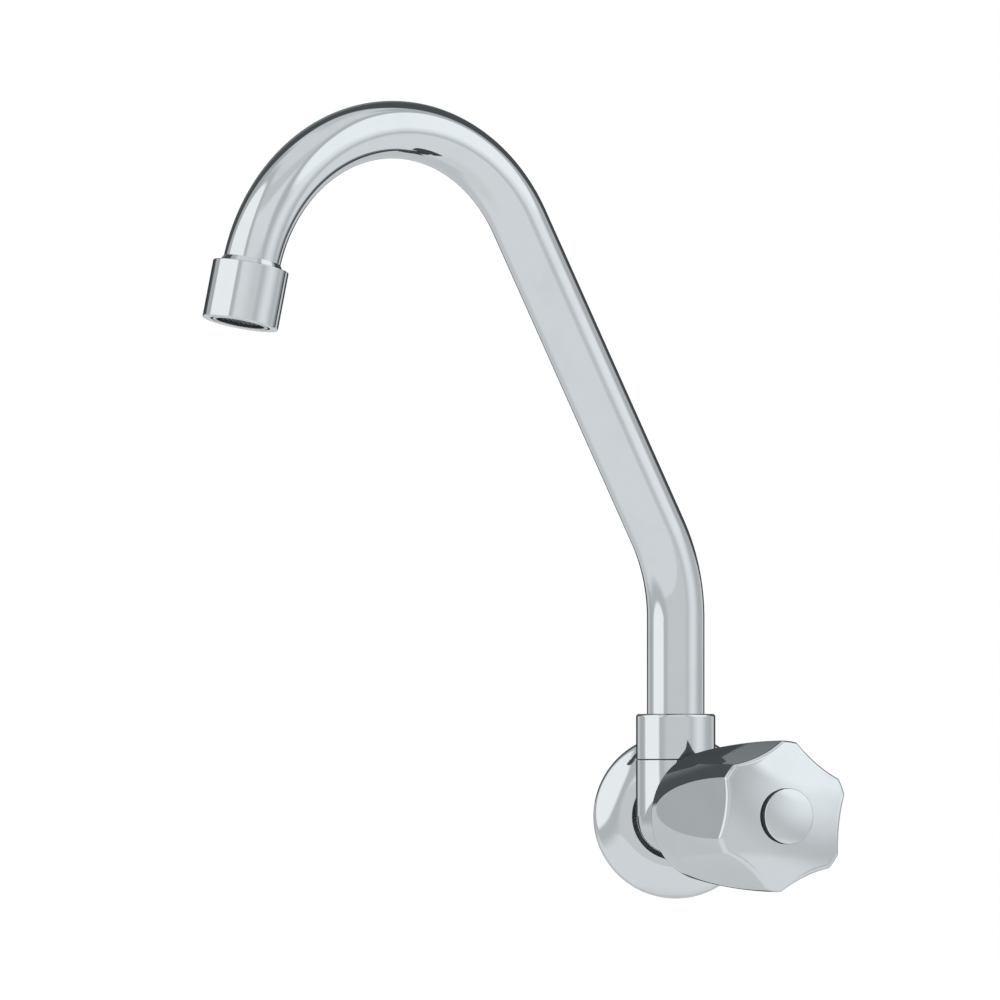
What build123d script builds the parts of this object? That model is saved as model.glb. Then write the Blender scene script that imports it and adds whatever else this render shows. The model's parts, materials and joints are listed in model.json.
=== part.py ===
from build123d import *
from math import atan2, cos, degrees, hypot, pi, radians, sin, sqrt
import os

# Wall faucet: one inlet, a valve with a fluted six-sided handle, and a hooked spout that swivels.
#
# Millimetres and degrees. The origin is the centre of the inlet where it meets the wall, and the wall
# is the plane Y = 0. +Y goes into the wall, +Z is up and +X is to the right of someone at the tap.
# The spout swivels about a vertical axis in front of the wall. The valve axis is level and crosses it.

os.makedirs("parts", exist_ok=True)

# ---------------------------------------------------------------------------------------------------
# Driving dimensions
# ---------------------------------------------------------------------------------------------------

# Layout
wall_to_swivel = 38.0       # wall plane to the swivel axis
valve_angle = 30.0          # valve axis, turned to the right of straight out from the wall
spout_angle = 35.0          # spout at rest, turned out from parallel with the wall

# Fits
running_fit = 0.08          # radial gap where a piece turns or slides in another
seat_fit = 0.05             # gap between pieces that are screwed, pressed or brazed together
body_gap = 0.3              # gap between pieces that move past each other
loose_fit = 0.15            # gap beside a ring in its groove or a cage in its housing

# Tap body, a casting
socket_radius = 12.4        # upright socket that carries the spout
socket_height = 17.5        # seam between body and spout nut, above the valve axis
inlet_radius = 12.05
port_radius = 12.2
port_length = 24.0          # valve port's mouth, from the swivel axis
inlet_thread_radius = 10.48
inlet_thread_length = 14.0  # behind the wall plane
barrel_setback = 0.5        # inlet barrel stops this far in front of the wall
inlet_bore_radius = 7.0
inlet_bore_stop = 11.0      # blind end of the inlet bore, behind the swivel axis
neck_radius = 11.0          # threaded neck inside the spout nut
neck_height = 10.5
neck_bore_radius = 9.5
neck_bore_floor = 10.0      # floor of the spout's socket, above the valve axis
passage_radius = 5.5        # from the valve chamber up to the spout's socket
chamber_radius = 8.5
chamber_floor = -5.0        # seat end of the valve chamber, along the valve axis
port_bore_radius = 10.0
port_bore_depth = 12.0
port_chamfer = 0.4
throat_radius = 4.3         # from the inlet bore to the seat
throat_end = -13.0

# Valve seat, a screwed-in ring
seat_radius = 5.5
seat_depth = 3.0
seat_bore_radius = 3.8
seat_lip_radius = 4.9
seat_lip_height = 1.4
seat_lip_taper = 0.35

# Wall flange and its gasket
flange_radius = 25.7
flange_rim = 0.6            # straight edge against the wall
flange_wall = 1.2
flange_hole_radius = 13.3
flange_lip_radius = 1.5     # rolled edge of the hole
flange_roll_radius = 10.5   # section of the roll outside the lip
flange_roll_lean = 19.0     # lean of the skin where the roll meets the dome
flange_dome_lean = 33.0     # lean of the skin where the dome turns down to the rim
flange_edge_radius = 3.7    # section of the edge that turns down to the rim
gasket_thickness = 2.0

# Valve bonnet
bonnet_hexagon = 22.0       # across flats
bonnet_hexagon_height = 6.0
bonnet_washer_radius = 12.0
bonnet_washer_thickness = 1.5
bonnet_neck_radius = 8.0
bonnet_length = 18.0        # washer face to the bonnet's outer end
hexagon_chamfer = 0.8

# Valve stem
stem_radius = 4.5
stem_collar_radius = 6.3
stem_collar_height = 3.0
stem_gland_length = 8.8     # bonnet neck around the stem
screw_radius = 3.9          # lead screw in the plunger
screw_length = 21.0
spline_radius = 3.95
spline_depth = 0.45
spline_teeth = 12
spline_length = 8.5
spline_start_gap = 1.6      # bonnet end to spline
stem_ring_section = 0.7     # O-ring section radius
stem_ring_pitch = 3.4
circlip_radius = 6.0
circlip_thickness = 0.8
circlip_opening = 70.0      # degrees

# Plunger, which the lead screw moves
plunger_hexagon = 13.0
plunger_disc_radius = 7.4
plunger_disc_thickness = 2.5
plunger_hexagon_length = 21.0
plunger_travel = 4.5
washer_radius = 6.8
washer_thickness = 3.0
washer_bore_radius = 2.2
washer_screw_radius = 1.95
washer_screw_length = 9.0
washer_screw_head_radius = 3.1
washer_screw_head_height = 1.5

# Handle
handle_start = 19.1         # rear rim, from the swivel axis
handle_length = 47.7        # rear rim to the corners of the front
handle_rear_radius = 20.0
handle_front_radius = 23.7
handle_crown = 2.6          # rise of the domed front
handle_corner_turn = 23.15  # first corner, turned from level
flute_count = 6
flute_radius = 42.0
flute_floor_radius = 20.65
handle_front_round = 0.7
handle_rear_round = 0.9
handle_cavity_radius = 17.6
handle_front_wall = 4.5
hub_radius = 7.6
hub_web = 1.6
rib_thickness = 1.6
rib_setback = 5.0
cap_radius = 8.75
cap_height = 2.7            # seat to the edge of the dome
cap_crown = 0.6
cap_edge_round = 0.5
cap_recess_depth = 1.1      # below the top of the front's crown
cap_skirt_radius = 5.9
cap_skirt_length = 4.5
cap_skirt_wall = 1.0
handle_screw_radius = 1.95
handle_screw_length = 8.0
handle_screw_head_radius = 3.6
handle_screw_head_height = 2.4
screw_socket = 2.5          # hexagon socket, across flats

# Spout nut, bush and seals
nut_lip = 1.6
nut_round = 0.9
bush_flange_thickness = 1.5
bush_length = 17.5          # part below the flange
bush_sleeve_length = 8.5    # part inside the tube
bush_bore_radius = 6.3
slip_washer_thickness = 0.7
spout_ring_section = 0.9
spout_ring_pitch = 6.0

# Spout tube
tube_radius = 9.0
tube_wall = 1.0
riser_top = 61.9            # start of the lower bend, above the valve axis
lower_bend_radius = 57.0
lean_angle = 28.6           # straight part, turned from upright
lean_length = 110.0
hook_radius = 55.3
hook_turn = 138.3
tube_tail_length = 8.0      # straight end inside the outlet sleeve

# Outlet
cone_length = 1.8
cone_radius = 10.2
sleeve_thread_radius = 10.85
sleeve_length = 8.6
housing_radius = 12.1
housing_length = 18.4
housing_bore_radius = 10.6
housing_lip = 0.9
housing_lip_radius = 9.45
housing_chamfer = 0.7
housing_shoulder_round = 0.5
aerator_gasket_thickness = 0.9
cage_lip_radius = 7.75
cage_ledge = 0.7
cage_slot = 0.7             # between the housing's lip and the cage's face
cage_setback = 0.3          # cage face inside the housing's foot
screen_radius = 8.15
screen_thickness = 0.5
screen_hole = 0.75
screen_pitch = 1.15
diffuser_radius = 8.9
diffuser_thickness = 1.6
diffuser_play = 0.24        # between the diffuser and its seat in the cage, in all
diffuser_holes = 10
diffuser_hole_radius = 0.8
diffuser_hole_circle = 5.9  # radius of the circle that the holes lie on

# ---------------------------------------------------------------------------------------------------
# Axes and planes worked out from them
# ---------------------------------------------------------------------------------------------------


def half_section(foot, direction, side):
    """Plane of a half section: its x is the radius, towards side, and its y runs along direction."""
    return Plane(foot, x_dir=side, z_dir=side.cross(direction))


swivel_foot = Vector(0, -wall_to_swivel, 0)
up = Vector(0, 0, 1)
swivel_axis = Axis(swivel_foot, up)
swivel_plane = Plane(swivel_foot, x_dir=(1, 0, 0), z_dir=up)
swivel_section = half_section(swivel_foot, up, Vector(1, 0, 0))

valve_direction = Vector(sin(radians(valve_angle)), -cos(radians(valve_angle)), 0)
valve_side = Vector(cos(radians(valve_angle)), sin(radians(valve_angle)), 0)
valve_axis = Axis(swivel_foot, valve_direction)
valve_plane = Plane(swivel_foot, x_dir=valve_side, z_dir=valve_direction)
valve_section = half_section(swivel_foot, valve_direction, valve_side)

spout_reach = Vector(-cos(radians(spout_angle)), -sin(radians(spout_angle)), 0)
spout_plane = half_section(swivel_foot, up, spout_reach)

# ---------------------------------------------------------------------------------------------------
# Tap body: socket, inlet barrel and valve port in one casting, with its waterways
# ---------------------------------------------------------------------------------------------------

seat_pocket_floor = chamber_floor - seat_depth

with BuildPart() as body:
    with BuildSketch(swivel_plane):
        Circle(socket_radius)
    extrude(amount=socket_height)
    with BuildSketch(swivel_plane.offset(socket_height)):
        Circle(neck_radius)
    extrude(amount=neck_height)

    # The inlet barrel starts as a ball round the swivel axis and ends in the threaded tail.
    with BuildSketch(Plane.XY):
        with BuildLine():
            nose = ThreePointArc(
                (0, -wall_to_swivel - inlet_radius),
                (inlet_radius * sin(pi / 4), -wall_to_swivel - inlet_radius * cos(pi / 4)),
                (inlet_radius, -wall_to_swivel),
            )
            Polyline(
                nose @ 1,
                (inlet_radius, -barrel_setback),
                (inlet_thread_radius, -barrel_setback),
                (inlet_thread_radius, inlet_thread_length),
                (0, inlet_thread_length),
                nose @ 0,
            )
        make_face()
    revolve(axis=Axis.Y)

    with BuildSketch(valve_plane):
        Circle(port_radius)
    extrude(amount=port_length)
    chamfer(body.edges().filter_by(GeomType.CIRCLE).sort_by(valve_axis)[-1], port_chamfer)

    # Waterways: inlet, throat, seat pocket, valve chamber, passage and the spout's socket.
    with BuildSketch(Plane.XZ.offset(-inlet_thread_length)):
        Circle(inlet_bore_radius)
    extrude(amount=inlet_thread_length + wall_to_swivel - inlet_bore_stop, mode=Mode.SUBTRACT)
    with BuildSketch(valve_plane.offset(throat_end)):
        Circle(throat_radius)
    extrude(amount=seat_pocket_floor - throat_end, mode=Mode.SUBTRACT)
    with BuildSketch(valve_plane.offset(seat_pocket_floor)):
        Circle(seat_radius + seat_fit)
    extrude(amount=seat_depth, mode=Mode.SUBTRACT)
    with BuildSketch(valve_plane.offset(chamber_floor)):
        Circle(chamber_radius)
    extrude(amount=port_length - chamber_floor, mode=Mode.SUBTRACT)
    with BuildSketch(valve_plane.offset(port_length - port_bore_depth)):
        Circle(port_bore_radius)
    extrude(amount=port_bore_depth, mode=Mode.SUBTRACT)
    with BuildSketch(swivel_plane):
        Circle(passage_radius)
    extrude(amount=neck_bore_floor, mode=Mode.SUBTRACT)
    with BuildSketch(swivel_plane.offset(neck_bore_floor)):
        Circle(neck_bore_radius)
    extrude(amount=socket_height + neck_height - neck_bore_floor, mode=Mode.SUBTRACT)
body.part.label = "body"

# ---------------------------------------------------------------------------------------------------
# Valve seat: a ring screwed into the wall between inlet and chamber, with a raised lip
# ---------------------------------------------------------------------------------------------------

seat_lip_top = chamber_floor + seat_lip_height

with BuildPart() as valve_seat:
    with BuildSketch(valve_section):
        with BuildLine():
            Polyline(
                (seat_bore_radius, seat_pocket_floor + seat_fit),
                (seat_radius, seat_pocket_floor + seat_fit),
                (seat_radius, chamber_floor),
                (seat_lip_radius, chamber_floor),
                (seat_lip_radius - seat_lip_taper, seat_lip_top),
                (seat_bore_radius, seat_lip_top),
                close=True,
            )
        make_face()
    revolve(axis=valve_axis)
valve_seat.part.label = "valve_seat"

# ---------------------------------------------------------------------------------------------------
# Wall flange: a pressed dome with a rolled hole, centred by the gasket on the barrel
# ---------------------------------------------------------------------------------------------------

flange_crest_radius = flange_hole_radius + flange_lip_radius
dome_start_radius = flange_crest_radius + flange_roll_radius * sin(radians(flange_roll_lean))
dome_rise = sin(radians(flange_dome_lean)) - sin(radians(flange_roll_lean))
dome_end_radius = flange_radius - flange_edge_radius * (1 - sin(radians(flange_dome_lean)))
flange_dome_radius = (dome_end_radius - dome_start_radius) / dome_rise
dome_fall = cos(radians(flange_roll_lean)) - cos(radians(flange_dome_lean))
flange_depth = (
    flange_rim
    + flange_edge_radius * cos(radians(flange_dome_lean))
    + flange_dome_radius * dome_fall
    + flange_roll_radius * (1 - cos(radians(flange_roll_lean)))
)


def flange_skin(inset):
    """First and last arc of the flange's skin, from the crest to the rim, inset deep in its wall."""
    crest = (flange_crest_radius, inset - flange_depth)
    roll = JernArc(crest, (1, 0), flange_roll_radius - inset, flange_roll_lean)
    dome = JernArc(roll @ 1, roll % 1, flange_dome_radius - inset, flange_dome_lean - flange_roll_lean)
    edge = JernArc(dome @ 1, dome % 1, flange_edge_radius - inset, 90 - flange_dome_lean)
    return roll, edge


with BuildPart() as wall_flange:
    with BuildSketch(Plane.XY):
        with BuildLine():
            outer_roll, outer_edge = flange_skin(0)
            inner_roll, inner_edge = flange_skin(flange_wall)
            lip = JernArc(outer_roll @ 0, tangent=(-1, 0), radius=flange_lip_radius, arc_size=-90)
            lip_foot = (flange_hole_radius, flange_lip_radius + flange_wall - flange_depth)
            Polyline(lip @ 1, lip_foot, inner_roll @ 0)
            Polyline(inner_edge @ 1, (flange_radius - flange_wall, 0), (flange_radius, 0), outer_edge @ 1)
        make_face()
    revolve(axis=Axis.Y)
wall_flange.part.label = "wall_flange"

# The gasket's front corner reaches the inside of the arc that turns down to the rim.
inner_edge_radius = flange_edge_radius - flange_wall
gasket_reach = sqrt(inner_edge_radius ** 2 - (gasket_thickness - flange_rim) ** 2)
gasket_radius = flange_radius - flange_edge_radius + gasket_reach - seat_fit

with BuildPart() as flange_gasket:
    with BuildSketch(Plane.XZ):
        Circle(gasket_radius)
        Circle(inlet_radius + seat_fit, mode=Mode.SUBTRACT)
    extrude(amount=gasket_thickness)
flange_gasket.part.label = "flange_gasket"

# ---------------------------------------------------------------------------------------------------
# Valve bonnet: screwed into the port, with a six-sided bore that keeps the plunger from turning
# ---------------------------------------------------------------------------------------------------

bonnet_seat = port_length + bonnet_washer_thickness
bonnet_end = bonnet_seat + bonnet_length
gland_floor = bonnet_end - stem_gland_length
bonnet_shank_start = port_length - port_bore_depth
collar_bottom = gland_floor - running_fit - stem_collar_height

with BuildPart() as valve_bonnet:
    with BuildSketch(valve_plane.offset(bonnet_shank_start)):
        Circle(port_bore_radius - seat_fit)
    extrude(amount=bonnet_seat - bonnet_shank_start)
    with BuildSketch(valve_plane.offset(bonnet_seat)):
        RegularPolygon(bonnet_hexagon / 2, 6, major_radius=False)
    extrude(amount=bonnet_hexagon_height)
    chamfer(valve_bonnet.faces().sort_by(valve_axis)[-1].edges(), hexagon_chamfer)
    with BuildSketch(valve_plane.offset(bonnet_seat + bonnet_hexagon_height)):
        Circle(bonnet_neck_radius)
    extrude(amount=bonnet_length - bonnet_hexagon_height)
    with BuildSketch(valve_plane.offset(bonnet_shank_start)):
        RegularPolygon(plunger_hexagon / 2 + body_gap, 6, major_radius=False)
    extrude(amount=gland_floor - bonnet_shank_start, mode=Mode.SUBTRACT)
    with BuildSketch(valve_plane.offset(gland_floor)):
        Circle(stem_radius + running_fit)
    extrude(amount=stem_gland_length, mode=Mode.SUBTRACT)
valve_bonnet.part.label = "valve_bonnet"

with BuildPart() as bonnet_washer:
    with BuildSketch(valve_plane.offset(port_length)):
        Circle(bonnet_washer_radius)
        Circle(port_bore_radius + seat_fit, mode=Mode.SUBTRACT)
    extrude(amount=bonnet_washer_thickness)
bonnet_washer.part.label = "bonnet_washer"

# ---------------------------------------------------------------------------------------------------
# Valve stem: turns but doesn't rise; its screw drives the plunger and its splines carry the handle
# ---------------------------------------------------------------------------------------------------

groove_radius = stem_radius - 2 * stem_ring_section
groove_half_width = stem_ring_section + loose_fit
ring_middle = (gland_floor + bonnet_end) / 2
stem_rings = [ring_middle - stem_ring_pitch / 2, ring_middle + stem_ring_pitch / 2]
circlip_start = bonnet_end + running_fit
circlip_end = circlip_start + circlip_thickness
spline_start = bonnet_end + spline_start_gap
stem_end = spline_start + spline_length


def spline_points(gap):
    """Corners of the splined section, grown outwards by gap."""
    points = []
    for index in range(2 * spline_teeth):
        radius = spline_radius + gap - (spline_depth if index % 2 else 0)
        angle = pi * index / spline_teeth
        points.append((radius * cos(angle), radius * sin(angle)))
    return points


with BuildPart() as valve_stem:
    with BuildSketch(valve_section):
        with BuildLine():
            Polyline(
                (0, collar_bottom - screw_length),
                (screw_radius, collar_bottom - screw_length),
                (screw_radius, collar_bottom),
                (stem_collar_radius, collar_bottom),
                (stem_collar_radius, collar_bottom + stem_collar_height),
                (stem_radius, collar_bottom + stem_collar_height),
                (stem_radius, spline_start),
                (0, spline_start),
                close=True,
            )
        make_face()
    revolve(axis=valve_axis)
    for middle in stem_rings:
        with BuildSketch(valve_plane.offset(middle - groove_half_width)):
            Circle(stem_radius)
            Circle(groove_radius, mode=Mode.SUBTRACT)
        extrude(amount=2 * groove_half_width, mode=Mode.SUBTRACT)
    with BuildSketch(valve_plane.offset(circlip_start)):
        Circle(stem_radius)
        Circle(spline_radius, mode=Mode.SUBTRACT)
    extrude(amount=circlip_thickness, mode=Mode.SUBTRACT)
    with BuildSketch(valve_plane.offset(spline_start)):
        Polygon(*spline_points(0), align=None)
    extrude(amount=spline_length)
    with BuildSketch(valve_plane.offset(stem_end - handle_screw_length)):
        Circle(handle_screw_radius + seat_fit)
    extrude(amount=handle_screw_length, mode=Mode.SUBTRACT)
valve_stem.part.label = "valve_stem"

with BuildPart() as stem_o_rings:
    for middle in stem_rings:
        with BuildSketch(valve_section):
            with Locations((groove_radius + stem_ring_section, middle)):
                Circle(stem_ring_section - seat_fit / 2)
        revolve(axis=valve_axis)
stem_o_rings.part.label = "stem_o_rings"

with BuildPart() as stem_circlip:
    with BuildSketch(valve_plane.offset(circlip_start)):
        Circle(circlip_radius)
        Circle(spline_radius + seat_fit, mode=Mode.SUBTRACT)
        with BuildLine(mode=Mode.PRIVATE) as opening:
            reach = 2 * circlip_radius
            half = radians(circlip_opening / 2)
            Polyline(
                (0, 0),
                (reach * cos(half), -reach * sin(half)),
                (reach * cos(half), reach * sin(half)),
                close=True,
            )
        make_face(opening.edges(), mode=Mode.SUBTRACT)
    extrude(amount=circlip_thickness)
stem_circlip.part.label = "stem_circlip"

# ---------------------------------------------------------------------------------------------------
# Plunger: slides in the bonnet's six-sided bore and presses its washer on the seat
# ---------------------------------------------------------------------------------------------------

washer_face = seat_lip_top + body_gap
disc_face = washer_face + washer_thickness
plunger_shoulder = disc_face + plunger_disc_thickness

with BuildPart() as valve_plunger:
    with BuildSketch(valve_plane.offset(disc_face)):
        Circle(plunger_disc_radius)
    extrude(amount=plunger_disc_thickness)
    with BuildSketch(valve_plane.offset(plunger_shoulder)):
        RegularPolygon(plunger_hexagon / 2, 6, major_radius=False)
    extrude(amount=plunger_hexagon_length)
    with BuildSketch(valve_plane.offset(collar_bottom - screw_length - plunger_travel - body_gap)):
        Circle(screw_radius + running_fit)
    extrude(amount=plunger_hexagon_length + screw_length, mode=Mode.SUBTRACT)
    with BuildSketch(valve_plane.offset(disc_face)):
        Circle(washer_screw_radius + seat_fit)
    extrude(amount=washer_screw_length - washer_thickness, mode=Mode.SUBTRACT)
valve_plunger.part.label = "valve_plunger"

with BuildPart() as seat_washer:
    with BuildSketch(valve_plane.offset(washer_face)):
        Circle(washer_radius)
        Circle(washer_bore_radius, mode=Mode.SUBTRACT)
    extrude(amount=washer_thickness)
seat_washer.part.label = "seat_washer"

with BuildPart() as washer_screw:
    with BuildSketch(valve_plane.offset(washer_face - washer_screw_head_height)):
        Circle(washer_screw_head_radius)
    extrude(amount=washer_screw_head_height)
    with BuildSketch(valve_plane.offset(washer_face)):
        Circle(washer_screw_radius)
    extrude(amount=washer_screw_length - running_fit)
    with BuildSketch(valve_plane.offset(washer_face - washer_screw_head_height)):
        RegularPolygon(screw_socket / 2, 6, major_radius=False)
    extrude(amount=washer_screw_head_height / 2, mode=Mode.SUBTRACT)
washer_screw.part.label = "washer_screw"

# ---------------------------------------------------------------------------------------------------
# Handle: a hollow barrel with six flutes that run out towards the rear, a domed front, hub and ribs
# ---------------------------------------------------------------------------------------------------

handle_end = handle_start + handle_length
crown_top = handle_end + handle_crown
cavity_end = handle_end - handle_front_wall
hub_start = spline_start + running_fit
hub_web_start = stem_end + running_fit
hub_web_end = hub_web_start + hub_web
cap_seat = crown_top - cap_recess_depth
flute_turn = handle_corner_turn + 180 / flute_count

with BuildPart() as handle:
    with BuildSketch(valve_section):
        with BuildLine():
            front_corner = (handle_front_radius, handle_end)
            flank = TangentArc(front_corner, (handle_rear_radius, handle_start), tangent=(0, -1))
            crown = TangentArc((0, crown_top), front_corner, tangent=(1, 0))
            Polyline(flank @ 1, (0, handle_start), crown @ 0)
        make_face()
    revolve(axis=valve_axis)
    with BuildSketch(valve_plane.offset(handle_start - handle_rear_round)):
        with PolarLocations(flute_floor_radius + flute_radius, flute_count, start_angle=flute_turn):
            Circle(flute_radius)
    extrude(amount=2 * handle_length, mode=Mode.SUBTRACT)
    fillet(handle.faces().sort_by(valve_axis)[-1].edges(), handle_front_round)
    fillet(handle.faces().sort_by(valve_axis)[0].edges(), handle_rear_round)

    # Cavity round the bonnet, then round the hub.
    with BuildSketch(valve_plane.offset(handle_start)):
        Circle(handle_cavity_radius)
    extrude(amount=hub_start - handle_start, mode=Mode.SUBTRACT)
    with BuildSketch(valve_plane.offset(hub_start)):
        Circle(handle_cavity_radius)
        Circle(hub_radius, mode=Mode.SUBTRACT)
    extrude(amount=cavity_end - hub_start, mode=Mode.SUBTRACT)
    with BuildSketch(valve_plane.offset(hub_start + rib_setback)):
        with PolarLocations((hub_radius + handle_cavity_radius) / 2, flute_count, start_angle=flute_turn):
            Rectangle(handle_cavity_radius - hub_radius + rib_thickness, rib_thickness)
    extrude(amount=cavity_end - hub_start - rib_setback)

    # Splined bore, screw hole, screw recess and the seat of the cap.
    with BuildSketch(valve_plane.offset(hub_start)):
        Polygon(*spline_points(seat_fit), align=None)
    extrude(amount=hub_web_start - hub_start, mode=Mode.SUBTRACT)
    with BuildSketch(valve_plane.offset(hub_web_start)):
        Circle(handle_screw_radius + body_gap)
    extrude(amount=hub_web, mode=Mode.SUBTRACT)
    with BuildSketch(valve_plane.offset(hub_web_end)):
        Circle(cap_skirt_radius + seat_fit)
    extrude(amount=crown_top - hub_web_end, mode=Mode.SUBTRACT)
    with BuildSketch(valve_plane.offset(cap_seat)):
        Circle(cap_radius + seat_fit)
    extrude(amount=cap_recess_depth, mode=Mode.SUBTRACT)
handle.part.label = "handle"

with BuildPart() as handle_screw:
    with BuildSketch(valve_plane.offset(hub_web_end)):
        Circle(handle_screw_head_radius)
    extrude(amount=handle_screw_head_height)
    with BuildSketch(valve_plane.offset(stem_end - handle_screw_length + running_fit)):
        Circle(handle_screw_radius)
    extrude(amount=hub_web_end - stem_end + handle_screw_length - running_fit)
    with BuildSketch(valve_plane.offset(hub_web_end + handle_screw_head_height)):
        RegularPolygon(screw_socket / 2, 6, major_radius=False)
    extrude(amount=-handle_screw_head_height / 2, mode=Mode.SUBTRACT)
handle_screw.part.label = "handle_screw"

with BuildPart() as handle_cap:
    with BuildSketch(valve_section):
        with BuildLine():
            cap_edge = cap_seat + cap_height
            cap_arc = TangentArc((0, cap_edge + cap_crown), (cap_radius, cap_edge), tangent=(1, 0))
            Polyline(
                cap_arc @ 1,
                (cap_radius, cap_seat),
                (cap_skirt_radius, cap_seat),
                (cap_skirt_radius, cap_seat - cap_skirt_length),
                (cap_skirt_radius - cap_skirt_wall, cap_seat - cap_skirt_length),
                (cap_skirt_radius - cap_skirt_wall, cap_seat),
                (0, cap_seat),
                cap_arc @ 0,
            )
        make_face()
    revolve(axis=valve_axis)
    fillet(handle_cap.edges().filter_by(lambda rim: rim.is_closed).sort_by(valve_axis)[-1], cap_edge_round)
handle_cap.part.label = "handle_cap"

# ---------------------------------------------------------------------------------------------------
# Spout foot: bush with two O-rings in the neck, held down by the nut over a slip washer
# ---------------------------------------------------------------------------------------------------

neck_top = socket_height + neck_height
bush_flange_bottom = neck_top + running_fit
bush_flange_top = bush_flange_bottom + bush_flange_thickness
bush_radius = neck_bore_radius - running_fit
nut_bore_radius = neck_radius + seat_fit
bush_flange_radius = nut_bore_radius - body_gap
nut_lip_bottom = bush_flange_top + seat_fit + slip_washer_thickness + running_fit
bush_groove_radius = bush_radius - 2 * spout_ring_section
bush_groove_half_width = spout_ring_section + loose_fit
bush_middle = bush_flange_bottom - bush_length / 2
spout_rings = [bush_middle - spout_ring_pitch / 2, bush_middle + spout_ring_pitch / 2]

with BuildPart() as spout_bush:
    with BuildSketch(swivel_section):
        with BuildLine():
            Polyline(
                (bush_bore_radius, bush_flange_bottom - bush_length),
                (bush_radius, bush_flange_bottom - bush_length),
                (bush_radius, bush_flange_bottom),
                (bush_flange_radius, bush_flange_bottom),
                (bush_flange_radius, bush_flange_top),
                (tube_radius - tube_wall - seat_fit, bush_flange_top),
                (tube_radius - tube_wall - seat_fit, bush_flange_top + bush_sleeve_length),
                (bush_bore_radius, bush_flange_top + bush_sleeve_length),
                close=True,
            )
        make_face()
    revolve(axis=swivel_axis)
    for middle in spout_rings:
        with BuildSketch(swivel_plane.offset(middle - bush_groove_half_width)):
            Circle(bush_radius)
            Circle(bush_groove_radius, mode=Mode.SUBTRACT)
        extrude(amount=2 * bush_groove_half_width, mode=Mode.SUBTRACT)
spout_bush.part.label = "spout_bush"

with BuildPart() as spout_o_rings:
    for middle in spout_rings:
        with BuildSketch(swivel_section):
            with Locations((bush_groove_radius + spout_ring_section, middle)):
                Circle(spout_ring_section - seat_fit / 2)
        revolve(axis=swivel_axis)
spout_o_rings.part.label = "spout_o_rings"

with BuildPart() as slip_washer:
    with BuildSketch(swivel_plane.offset(bush_flange_top + seat_fit)):
        Circle(bush_flange_radius)
        Circle(tube_radius + seat_fit, mode=Mode.SUBTRACT)
    extrude(amount=slip_washer_thickness)
slip_washer.part.label = "slip_washer"

with BuildPart() as spout_nut:
    with BuildSketch(swivel_plane.offset(socket_height + seat_fit)):
        Circle(socket_radius)
        Circle(nut_bore_radius, mode=Mode.SUBTRACT)
    extrude(amount=nut_lip_bottom - socket_height - seat_fit)
    with BuildSketch(swivel_plane.offset(nut_lip_bottom)):
        Circle(socket_radius)
        Circle(tube_radius + running_fit, mode=Mode.SUBTRACT)
    extrude(amount=nut_lip)
    top_rims = spout_nut.edges().filter_by(GeomType.CIRCLE).group_by(Axis.Z)[-1]
    fillet(top_rims.sort_by(SortBy.RADIUS)[-1], nut_round)
spout_nut.part.label = "spout_nut"

# ---------------------------------------------------------------------------------------------------
# Spout tube: riser, lower bend, leaning run, hook and a short straight end
# ---------------------------------------------------------------------------------------------------

with BuildLine(spout_plane) as spout_path:
    riser = Line((0, bush_flange_top + seat_fit), (0, riser_top))
    lower_bend = JernArc(riser @ 1, tangent=riser % 1, radius=lower_bend_radius, arc_size=-lean_angle)
    lean = PolarLine(lower_bend @ 1, lean_length, direction=lower_bend % 1)
    hook = JernArc(lean @ 1, tangent=lean % 1, radius=hook_radius, arc_size=-hook_turn)
    tail = PolarLine(hook @ 1, tube_tail_length, direction=hook % 1)
spout_wire = spout_path.wires()[0]
outlet_foot = hook @ 1
outlet_direction = (hook % 1).normalized()

with BuildPart() as spout_tube:
    with BuildSketch(Plane(spout_wire @ 0, x_dir=spout_reach, z_dir=up)):
        Circle(tube_radius)
        Circle(tube_radius - tube_wall, mode=Mode.SUBTRACT)
    sweep(path=spout_wire)
spout_tube.part.label = "spout_tube"

# ---------------------------------------------------------------------------------------------------
# Outlet: threaded sleeve on the tube, screwed-on housing, gasket, cage, diffuser and screen
# ---------------------------------------------------------------------------------------------------

outlet_side = outlet_direction.cross(spout_reach.cross(up)).normalized()
outlet_axis = Axis(outlet_foot, outlet_direction)
outlet_plane = Plane(outlet_foot, x_dir=outlet_side, z_dir=outlet_direction)
outlet_section = half_section(outlet_foot, outlet_direction, outlet_side)
tube_bow = cone_length ** 2 / (2 * hook_radius)
sleeve_bore_radius = tube_radius + tube_bow + seat_fit
sleeve_stop_radius = tube_radius - tube_wall
thread_bore_radius = sleeve_thread_radius + running_fit
gasket_start = sleeve_length + seat_fit
cage_start = gasket_start + aerator_gasket_thickness + seat_fit
cage_radius = housing_bore_radius - loose_fit
lip_start = housing_length - housing_lip
cage_end = housing_length - cage_setback
ledge_start = cage_end - cage_ledge
screen_start = ledge_start - screen_thickness - seat_fit
diffuser_seat = cage_start + diffuser_thickness + diffuser_play

with BuildPart() as outlet_sleeve:
    with BuildSketch(outlet_section):
        with BuildLine():
            Polyline(
                (sleeve_bore_radius, -cone_length),
                (cone_radius, 0),
                (sleeve_thread_radius, 0),
                (sleeve_thread_radius, sleeve_length),
                (sleeve_stop_radius, sleeve_length),
                (sleeve_stop_radius, tube_tail_length + seat_fit),
                (sleeve_bore_radius, tube_tail_length + seat_fit),
                close=True,
            )
        make_face()
    revolve(axis=outlet_axis)
outlet_sleeve.part.label = "outlet_sleeve"

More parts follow.
